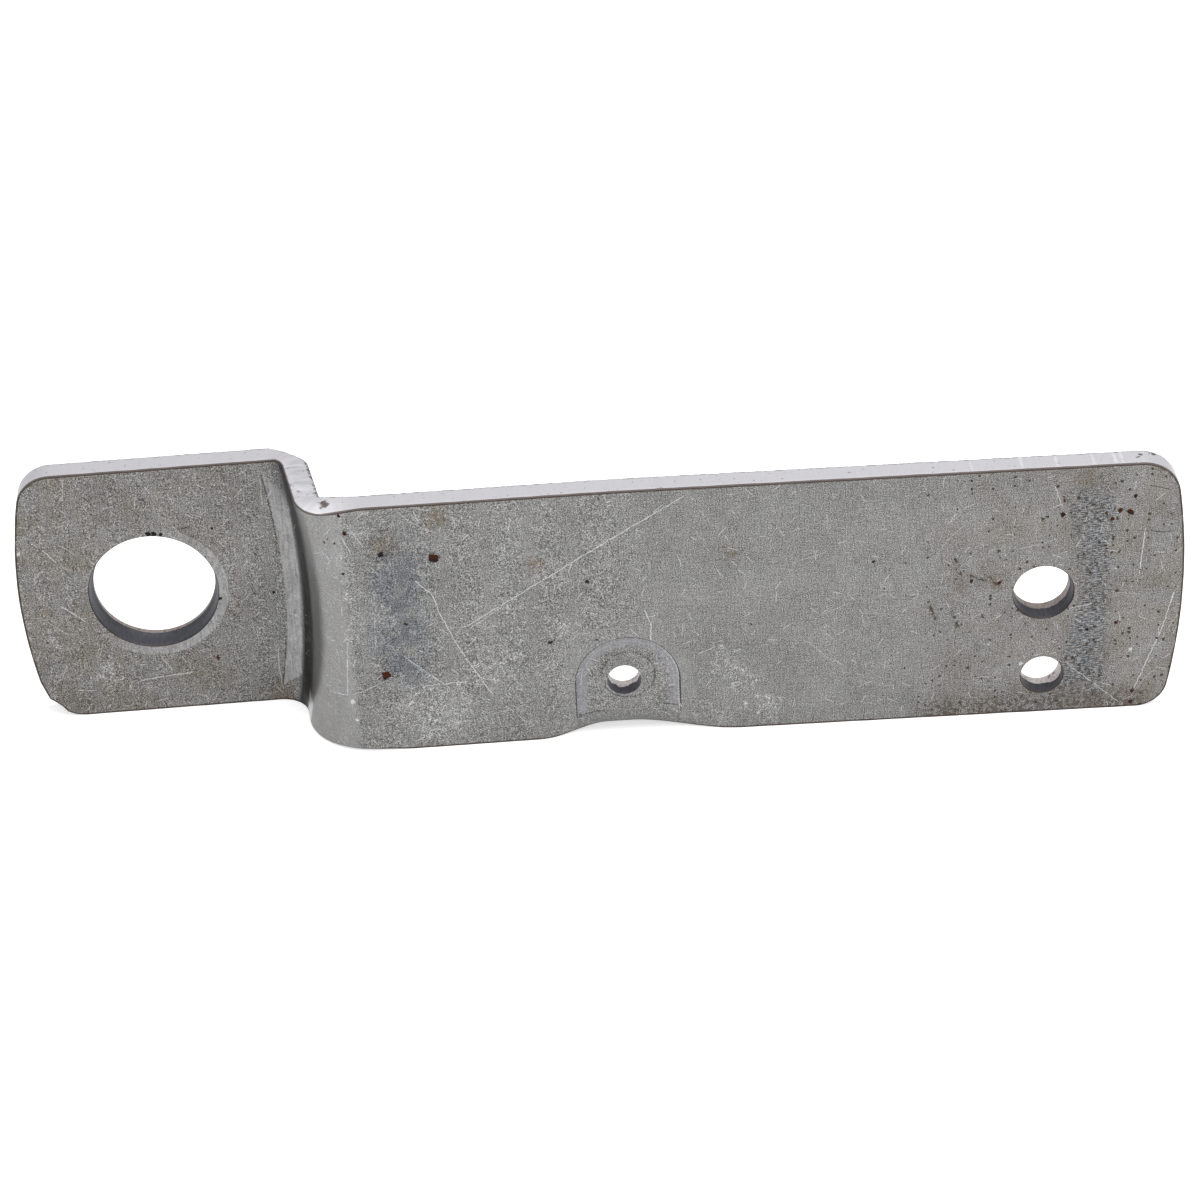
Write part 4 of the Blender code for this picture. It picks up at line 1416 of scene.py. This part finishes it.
def lay_fresh_metal(steel):
    """Named scratches, scuffed places and chance scratches."""
    weave, place = steel.weave, steel.place
    broken_up = weave.line(weave.step(steel.grain, 0.36, 0.52), 0.75, 0.25)
    deep = steel.marked(weave.line_distance, steel.crooked, DEEP_SCRATCHES, 0.13, 0.03)
    fine = steel.marked(weave.line_distance, steel.crooked, FINE_SCRATCHES, 0.12, 0.02)
    nick = steel.marked(weave.spot_depth, steel.ragged, PALE_NICKS, 0.1, -0.2)
    named = weave.most(weave.every(deep, 0.62), weave.every(fine, 0.5), weave.every(nick, 0.75))
    named = weave.every(named, broken_up, steel.on_front)
    squiggle = weave.step(weave.apart(weave.noise(place, *SQUIGGLES), 0.5), 0.030, 0.008)
    squiggle = weave.every(squiggle, weave.step(steel.crumbs, 0.38, 0.48))
    strength = weave.every(weave.step(steel.cloud, 0.54, 0.66), 0.4)
    scuff = steel.nearest(weave.spot_depth, steel.ragged, SCUFFS)
    if scuff is not None:
        scuff = weave.line(weave.noise(place, *SCUFF_BREAKS), 8.0, scuff)
        scuff = weave.every(weave.step(scuff, 5.0, 3.4), steel.on_front, 0.6)
        strength = weave.math("ADD", scuff, strength)
    squiggle = weave.every(squiggle, strength)
    on_back = weave.math("GREATER_THAN", steel.depth, THICKNESS * MM / 2)
    sided = weave.vector("ADD", steel.flat, weave.scaled(BACK_SHIFT, on_back))
    long_strokes = weave.every(weave.strokes(sided, 0.10, 6.0, 0.08, 0.4), 0.32)
    short_strokes = weave.every(weave.strokes(sided, 0.36, 1.2, 0.10, 0.4), 0.42)
    fresh = weave.most(long_strokes, short_strokes, squiggle)
    fresh = weave.most(weave.every(fresh, broken_up, steel.on_faces), named)
    steel.lay(fresh, steel.finish.fresh)


def lay_rust(steel):
    """Brown freckles, thicker towards the idler end, rust and oily specks. Gives how dull they are."""
    weave, finish = steel.weave, steel.finish
    cell = weave.cells(steel.ragged, 0.8)
    more = weave.every(weave.step(steel.x, *RUSTIER_END), weave.step(steel.cloud, 0.30, 0.56))
    more = weave.line(more, 0.42, 0.1)
    size = weave.math("SUBTRACT", more, weave.chances(cell["Color"])[0])
    freckle = weave.step(weave.line(size, -0.55, cell["Distance"]), 0.02, -0.06)
    freckle = weave.every(freckle, weave.math("LESS_THAN", steel.kind, 1.5), 0.9)
    steel.lay(freckle, finish.dirt)
    streak = steel.marked(weave.line_distance, steel.ragged, BROWN_STREAKS, 0.5, 0.15)
    streak = weave.every(streak, weave.step(steel.crumbs, 0.47, 0.53), steel.on_front, 0.85)
    steel.lay(streak, finish.dirt)
    rust = 0.0
    spots = steel.nearest(weave.spot_depth, steel.ragged, RUST_SPOTS)
    if spots is not None:
        rust = weave.every(weave.step(weave.line(steel.crumbs, 1.6, spots), 0.9, 0.72), steel.on_front)
        patchy = weave.tinted(weave.step(steel.crumbs, 0.50, 0.40), tuple(finish.rust), tuple(finish.black))
        steel.lay(rust, patchy)
    black = steel.marked(weave.spot_depth, steel.ragged, BLACK_SPOTS, 0.08, -0.1)
    black = weave.every(black, steel.on_front)
    steel.lay(black, finish.black)
    return weave.most(rust, black, freckle)


def lay_sheared_edge(steel, station):
    """The outline: pale, striped where it was bent, dirty along both rims, with painted shade in the back
    rim's dirt. Gives the dirt in front.
    """
    weave, finish, depth = steel.weave, steel.finish, steel.depth
    dirt = tuple(finish.dirt)
    rim = steel.attribute("rim", "Fac")
    if station is not None:
        rim = weave.math("SUBTRACT", rim, weave.band(station, *CLEAN_RIM, 1.0))
    rim = weave.every(weave.step(rim, 0.05, 0.5), steel.on_front, weave.step(steel.crumbs, 0.16, 0.44))
    steel.lay(weave.math("MULTIPLY", rim, 0.92), dirt)
    stripes = weave.noise(weave.stretched(steel.blank, 2.4, 2.4, 0.22), 1.0, 3.0, 0.6)
    stripe_depth = 0.1
    if station is not None:
        stripe_depth = weave.line(weave.band(station, *STRIPED_EDGE, 1.5), 0.9, stripe_depth)
    tone = weave.line(steel.grain, 0.2, 0.9)
    tone = weave.line(weave.math("SUBTRACT", stripes, 0.5), stripe_depth, tone)
    edge = weave.scaled(tuple(finish.cut_edge), tone)
    edge = weave.tinted(weave.step(depth, *BACK_RIM), edge, steel.colour)
    # Patchy dirt and painted shade along the back rim, where the rollover turns away.
    dirty = weave.every(weave.step(depth, *BACK_DIRT_AND_SHADE), weave.step(steel.crumbs, 0.46, 0.56), 0.8)
    dirty = weave.most(dirty, weave.every(weave.step(depth, *FRONT_DIRT), 0.85))
    dirty = weave.most(dirty, weave.every(weave.step(steel.crumbs, 0.64, 0.69), 0.7))
    plan = weave.joined(steel.x, steel.behind, 0.0)
    spots = steel.nearest(weave.spot_depth, plan, EDGE_SPOTS)
    if spots is not None:
        spots = weave.step(weave.line(steel.crumbs, 2.4, spots), 1.4, 1.0)
        dirty = weave.most(dirty, weave.every(spots, weave.step(steel.height, 44.0, 46.0), 0.85))
    edge = weave.tinted(dirty, edge, dirt)
    steel.lay(weave.math("GREATER_THAN", steel.kind, 0.5), edge)
    return rim


def lay_hole_walls(steel):
    """Hole walls: torn and dark in front, smooth land behind."""
    weave, finish = steel.weave, steel.finish
    in_small_hole = weave.math("GREATER_THAN", steel.kind, 2.5)
    land = weave.tinted(in_small_hole, tuple(finish.land), tuple(finish.bright_land))
    land = weave.tinted(weave.step(steel.crumbs, 0.56, 0.66), land, tuple(finish.stain))
    on_land = weave.step(steel.attribute("land", "Fac"), -0.03, 0.06)
    wall = weave.tinted(on_land, tuple(finish.broken), land)
    blotches = weave.noise(weave.stretched(steel.blank, 2.5, 2.5, 0.8), 1.0, 3.0)
    wall = weave.scaled(wall, weave.line(blotches, 0.9, 0.55))
    wall = weave.tinted(weave.every(weave.step(steel.depth, *MOUTH_DIRT), 0.8), wall, tuple(finish.dirt))
    steel.lay(weave.math("GREATER_THAN", steel.kind, 1.5), wall)


def joggle_station(steel, joggle):
    """Where a place lies along the joggle, in spans."""
    spans = JOGGLE_SPANS / ((joggle["tab_side"] - joggle["main_side"]) * MM)
    return steel.weave.line(steel.along, spans, -joggle["main_side"] * MM * spans)


def satin_beside_riser(steel, station):
    """1 where the press rubbed the main plate smooth beside the riser."""
    weave = steel.weave
    ragged_x = weave.noise(steel.place, *SATIN_RAGGED)
    ragged_x = weave.line(ragged_x, 3.0, weave.math("SUBTRACT", steel.x, 1.5))
    before_tab = weave.math("LESS_THAN", station, SATIN_END)
    return weave.every(before_tab, weave.step(ragged_x, *SATIN_X), steel.on_front)


def satin_round_lug(steel, away):
    """1 where the lug's punch rubbed the plate smooth round the recess."""
    weave = steel.weave
    return weave.every(weave.step(away, 4.5, 0.5), weave.step(away, -0.1, 0.1), steel.on_front, 0.4)


def wire_shader(steel, smooth, dull):
    """Leads the colour, the gloss and the grain's relief into the shader."""
    weave = steel.weave
    rough = weave.line(steel.cloud, FACE_ROUGHNESS_SPREAD, FACE_ROUGHNESS)
    rough = weave.line(smooth, -0.1, rough)
    rough = weave.blend(weave.math("GREATER_THAN", steel.kind, 0.5), rough, CUT_ROUGHNESS)
    inputs = {
        "Base Color": steel.colour,
        "Roughness": weave.blend(dull, rough, DIRT_ROUGHNESS),
        "Metallic": weave.blend(dull, STEEL_METALLIC, 0.0),
        "Specular IOR Level": weave.blend(dull, STEEL_SPECULAR, DIRT_SPECULAR),
    }
    relief = {"Height": weave.math("MULTIPLY", steel.grain, RELIEF), "Distance": 0.001, "Strength": 1.0}
    inputs["Normal"] = weave.node("ShaderNodeBump", relief).outputs["Normal"]
    tree = steel.material.node_tree
    for name, value in inputs.items():
        tree.links.new(value, tree.nodes["Principled BSDF"].inputs[name])


def steel_material(finish, index, joggle):
    """The worn steel of one stretch of the strip."""
    name, high = STRETCHES[index]
    low = STRETCHES[index - 1][1] if index else LEFT_END
    steel = Steel(finish, name, low, high)
    weave = steel.weave
    station = away = None
    smooth = 0.0
    if name == "tab":
        station = joggle_station(steel, joggle)
        smooth = satin_beside_riser(steel, station)
    if name == "lug":
        away = recess_distance(steel)
        smooth = satin_round_lug(steel, away)
    lay_mill_face(steel, smooth)
    lay_stains(steel)
    dark_and_shadow_lines = steel.marked(weave.line_distance, steel.crooked, DARK_LINES, 0.13, 0.03)
    dark_and_shadow_lines = weave.every(dark_and_shadow_lines, steel.on_front, 0.75)
    if name in ("tab", "bend"):
        lay_oxide_patch(steel)
    if name == "idler_end":
        lay_oxide_band(steel)
    if name == "tab":
        lay_pivot_ring(steel)
        crescent, beside = crescent_masks(steel, station)
        lay_rubbed(steel, crescent)
        # The crescent's painted shadow line joins the dark lines.
        dark_and_shadow_lines = weave.most(dark_and_shadow_lines, beside)
        steel.tone = weave.line(weave.step(station, *DIMMED_TAB), -0.07, steel.tone)
    if name == "lug":
        lay_lug(steel, away)
        # The painted shade at the foot of the recess's wall joins the dark lines.
        dark_and_shadow_lines = weave.most(dark_and_shadow_lines, recess_foot_shade(steel, away))
    steel.colour = weave.scaled(steel.colour, weave.most(steel.tone, DARKEST_TONE))
    # Real dark lines and painted shade lines are laid in black alike.
    steel.lay(dark_and_shadow_lines, steel.finish.black)
    if name == "tab":
        lay_riser_shade_and_highlight(steel, station)
    lay_fresh_metal(steel)
    rust = lay_rust(steel)
    dull = weave.most(rust, lay_sheared_edge(steel, station))
    lay_hole_walls(steel)
    wire_shader(steel, smooth, dull)
    return steel.material


# The stage


def camera_matrix():
    """Where the camera stands and how it is turned."""
    matrix = Matrix.Translation(CAMERA_PLACE + ORIGIN)
    for angle, axis in ((CAMERA_YAW, "Z"), (CAMERA_PITCH, "X"), (CAMERA_ROLL, "Y"), (pi / 2, "X")):
        matrix = matrix @ Matrix.Rotation(angle, 4, axis)
    return matrix


def add_camera():
    """The camera that sees the bracket as the picture does."""
    data = bpy.data.cameras.new("photograph_camera")
    data.lens = CAMERA_LENS
    data.sensor_width = CAMERA_SENSOR
    data.clip_start = 0.01
    camera = bpy.data.objects.new("photograph_camera", data)
    camera.matrix_world = camera_matrix()
    bpy.context.scene.collection.objects.link(camera)
    bpy.context.scene.camera = camera


def add_softbox(name, place, size, power):
    """A square lamp that points at the middle of the floor."""
    data = bpy.data.lights.new(name, "AREA")
    data.shape = "SQUARE"
    data.size = size
    data.energy = power
    lamp = bpy.data.objects.new(name, data)
    lamp.location = place
    lamp.rotation_euler = (-Vector(place)).to_track_quat("-Z", "Y").to_euler()
    bpy.context.scene.collection.objects.link(lamp)


def seen_directly(weave):
    """1 for rays that show the background: from the camera, in a gloss or through glass."""
    path = weave.node("ShaderNodeLightPath", {}).outputs
    mirrored = weave.most(path["Is Glossy Ray"], path["Is Transmission Ray"])
    return weave.most(path["Is Camera Ray"], mirrored)


def set_world(stage):
    """A room that is white to look at and softer on the object."""
    world = bpy.data.worlds.new("studio")
    world.use_nodes = True
    bpy.context.scene.world = world
    weave = Weave(world.node_tree)
    direct = seen_directly(weave)
    background = world.node_tree.nodes["Background"]
    background.inputs["Color"].default_value = (1, 1, 1, 1)
    strength = weave.blend(direct, stage.surround, 1.0)
    world.node_tree.links.new(strength, background.inputs["Strength"])


def floor_material():
    """Pale and matt, lifted towards the white of the room and still able to take a shadow."""
    material = bpy.data.materials.new("pale_floor")
    material.use_nodes = True
    tree = material.node_tree
    weave = Weave(tree)
    direct = seen_directly(weave)
    shader = tree.nodes["Principled BSDF"]
    shader.inputs["Base Color"].default_value = (FLOOR_GREY, FLOOR_GREY, FLOOR_GREY, 1)
    shader.inputs["Roughness"].default_value = 0.9
    shader.inputs["Specular IOR Level"].default_value = 0.1
    shader.inputs["Emission Color"].default_value = (1, 1, 1, 1)
    glow = weave.math("MULTIPLY", direct, FLOOR_GLOW)
    tree.links.new(glow, shader.inputs["Emission Strength"])
    return material


class BRACKET_OT_press_bracket(bpy.types.Operator):
    """Cuts, punches and presses the bracket, and gives it its worn steel"""

    bl_idname = "bracket.press_bracket"
    bl_label = "Press Bracket"

    def execute(self, context):
        edges = context.scene.bracket_edges
        joggle = joggle_layout()
        strip = flat_strip(joggle["pivot"], edges)
        for hole, x in holes_along(joggle):
            cut(strip, punch(hole, x))
        cut(strip, recess_punch())
        mesh = bracket_mesh(strip, joggle, edges)
        bpy.data.objects.remove(strip)
        mesh.shade_smooth()
        mesh.set_sharp_from_angle(angle=SHARP_ANGLE)
        for index in range(len(STRETCHES)):
            mesh.materials.append(steel_material(context.scene.bracket_finish, index, joggle))
        bracket = bpy.data.objects.new("pressed_steel_bracket", mesh)
        context.scene.collection.objects.link(bracket)
        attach(bracket, "root")
        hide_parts("idler_pivot_bracket")
        return {"FINISHED"}


class BRACKET_OT_set_stage(bpy.types.Operator):
    """Lays the pale floor and sets up the lights and the camera"""

    bl_idname = "bracket.set_stage"
    bl_label = "Set Stage"

    def execute(self, context):
        stage = context.scene.bracket_stage
        bm = bmesh.new()
        bmesh.ops.create_grid(bm, x_segments=1, y_segments=1, size=stage.floor_size / 2)
        floor = new_object("studio_floor", bm)
        floor.data.materials.append(floor_material())
        set_world(stage)
        add_softbox("key_softbox", KEY_PLACE, KEY_SIZE, stage.key_power)
        add_softbox("fill_softbox", FILL_PLACE, FILL_SIZE, stage.fill_power)
        add_camera()
        context.scene.view_settings.view_transform = "Standard"
        return {"FINISHED"}


class BRACKET_PT_panel(bpy.types.Panel):
    """Lists the bracket's operators and their sizes and colours"""

    bl_idname = "BRACKET_PT_panel"
    bl_label = "Idler Pivot Bracket"
    bl_space_type = "VIEW_3D"
    bl_region_type = "UI"
    bl_category = "Bracket"

    def draw(self, context):
        layout = self.layout
        for operator, group in (
            (BRACKET_OT_press_bracket, context.scene.bracket_edges),
            (None, context.scene.bracket_finish),
            (BRACKET_OT_set_stage, context.scene.bracket_stage),
        ):
            for name in group.__annotations__:
                layout.prop(group, name)
            if operator:
                layout.operator(operator.bl_idname)


GROUPS = {"bracket_edges": BracketEdges, "bracket_finish": BracketFinish, "bracket_stage": StudioStage}
CLASSES = (*GROUPS.values(), BRACKET_OT_press_bracket, BRACKET_OT_set_stage, BRACKET_PT_panel)


def register():
    for item in CLASSES:
        bpy.utils.register_class(item)
    for name, group in GROUPS.items():
        setattr(bpy.types.Scene, name, PointerProperty(type=group))


def unregister():
    for name in GROUPS:
        delattr(bpy.types.Scene, name)
    for item in reversed(CLASSES):
        bpy.utils.unregister_class(item)


def main():
    register()
    bpy.ops.bracket.set_stage()
    bpy.ops.bracket.press_bracket()


if __name__ == "__main__":
    main()
